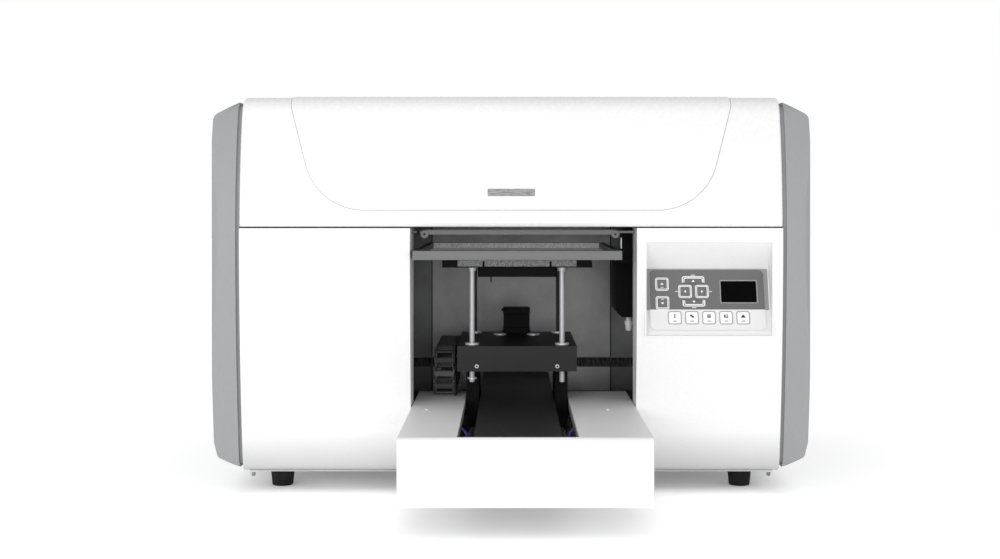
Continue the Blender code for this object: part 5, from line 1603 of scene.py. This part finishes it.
def make_floor():
    """A plain white floor that gives a little light itself, but less under the machine: a painted shadow."""
    floor = temporary(block((-9.0, -8.0, -0.02), (9.0, 14.0, 0.0)))
    floor.name = "studio_floor"
    finish = bpy.data.materials.new("studio_floor")
    finish.use_nodes = True
    tree = finish.node_tree
    shader = tree.nodes["Principled BSDF"]
    white = (1.0, 1.0, 1.0, 1.0)
    for name, value in (
        ("Base Color", white), ("Roughness", 1.0), ("Specular IOR Level", 0.0), ("Emission Color", white),
    ):
        shader.inputs[name].default_value = value
    place = add_node(tree, "ShaderNodeTexCoord").outputs["Object"]
    across = add_node(tree, "ShaderNodeSeparateXYZ", {"Vector": place})
    glows = []
    # Painted shadow: the glow falls to its low value in a soft-edged patch under the machine.
    for axis, centre, half in (("X", 0.0, 0.37), ("Y", 0.16, 0.30)):
        away = add_node(tree, "ShaderNodeMath", {0: across.outputs[axis], 1: centre}, operation="SUBTRACT")
        away = add_node(tree, "ShaderNodeMath", {0: away.outputs[0]}, operation="ABSOLUTE")
        reach = {
            "From Min": half - 0.03, "From Max": half + 0.05, "To Min": FLOOR_PAINTED_SHADOW_GLOW,
            "To Max": FLOOR_GLOW
        }
        outside = add_node(
            tree, "ShaderNodeMapRange", {"Value": away.outputs[0], **reach}, interpolation_type="SMOOTHSTEP"
        )
        glows.append(outside.outputs["Result"])
    strength = add_node(tree, "ShaderNodeMath", dict(enumerate(glows)), operation="MAXIMUM")
    tree.links.new(strength.outputs[0], shader.inputs["Emission Strength"])
    floor.data.materials.append(finish)


def make_lights():
    """An even white room with a large soft light in front and above."""
    world = bpy.data.worlds.new("studio")
    bpy.context.scene.world = world
    world.use_nodes = True
    background = world.node_tree.nodes["Background"]
    tree = world.node_tree
    place = add_node(tree, "ShaderNodeTexCoord").outputs["Generated"]
    split = add_node(tree, "ShaderNodeSeparateXYZ", {"Vector": place})
    sky = add_node(tree, "ShaderNodeValToRGB", {"Fac": split.outputs["Z"]})
    sky.color_ramp.elements[0].position = 0.16
    sky.color_ramp.elements[0].color = (1.0, 1.0, 1.0, 1.0)
    sky.color_ramp.elements[1].position = 0.75
    sky.color_ramp.elements[1].color = (0.60, 0.60, 0.60, 1.0)
    tree.links.new(sky.outputs["Color"], background.inputs["Color"])
    background.inputs["Strength"].default_value = 1.0
    for name, place, aim, size, power in (
        ("front_softbox", (-1.3, -3.0, 0.8), (0.0, 0.0, 0.25), (1.6, 0.9), 20.0),
        ("fill_softbox", (0.2, -3.4, 0.35), (0.0, 0.0, 0.25), (1.0, 0.5), 11.0),
    ):
        data = bpy.data.lights.new(name, "AREA")
        data.shape = "RECTANGLE"
        data.size, data.size_y = size
        data.energy = power
        light = bpy.data.objects.new(name, data)
        bpy.context.scene.collection.objects.link(light)
        light.location = place
        light.rotation_euler = (Vector(aim) - Vector(place)).to_track_quat("-Z", "Y").to_euler()


def make_camera():
    data = bpy.data.cameras.new("camera")
    data.lens = CAMERA_LENS
    data.sensor_width = 36.0
    data.shift_x, data.shift_y = CAMERA_SHIFT
    data.clip_end = 60.0
    camera = bpy.data.objects.new("camera", data)
    bpy.context.scene.collection.objects.link(camera)
    camera.location = CAMERA_PLACE
    camera.rotation_euler = (math.pi / 2, 0.0, 0.0)
    bpy.context.scene.camera = camera


def main():
    bpy.context.scene.view_settings.view_transform = "Standard"
    make_camera()
    make_floor()
    make_lights()
    make_hood()
    make_refined()
    make_plain_finishes()
    make_keypad()
    make_keys()
    make_chain()
    make_lift_fittings()
    make_rods()
    make_motors()
    make_table_details()
    make_chamber_details()
    make_deck_details()
    make_seam()
    make_top_details()
    make_head_details()
    make_feet()
    make_rear_details()


main()
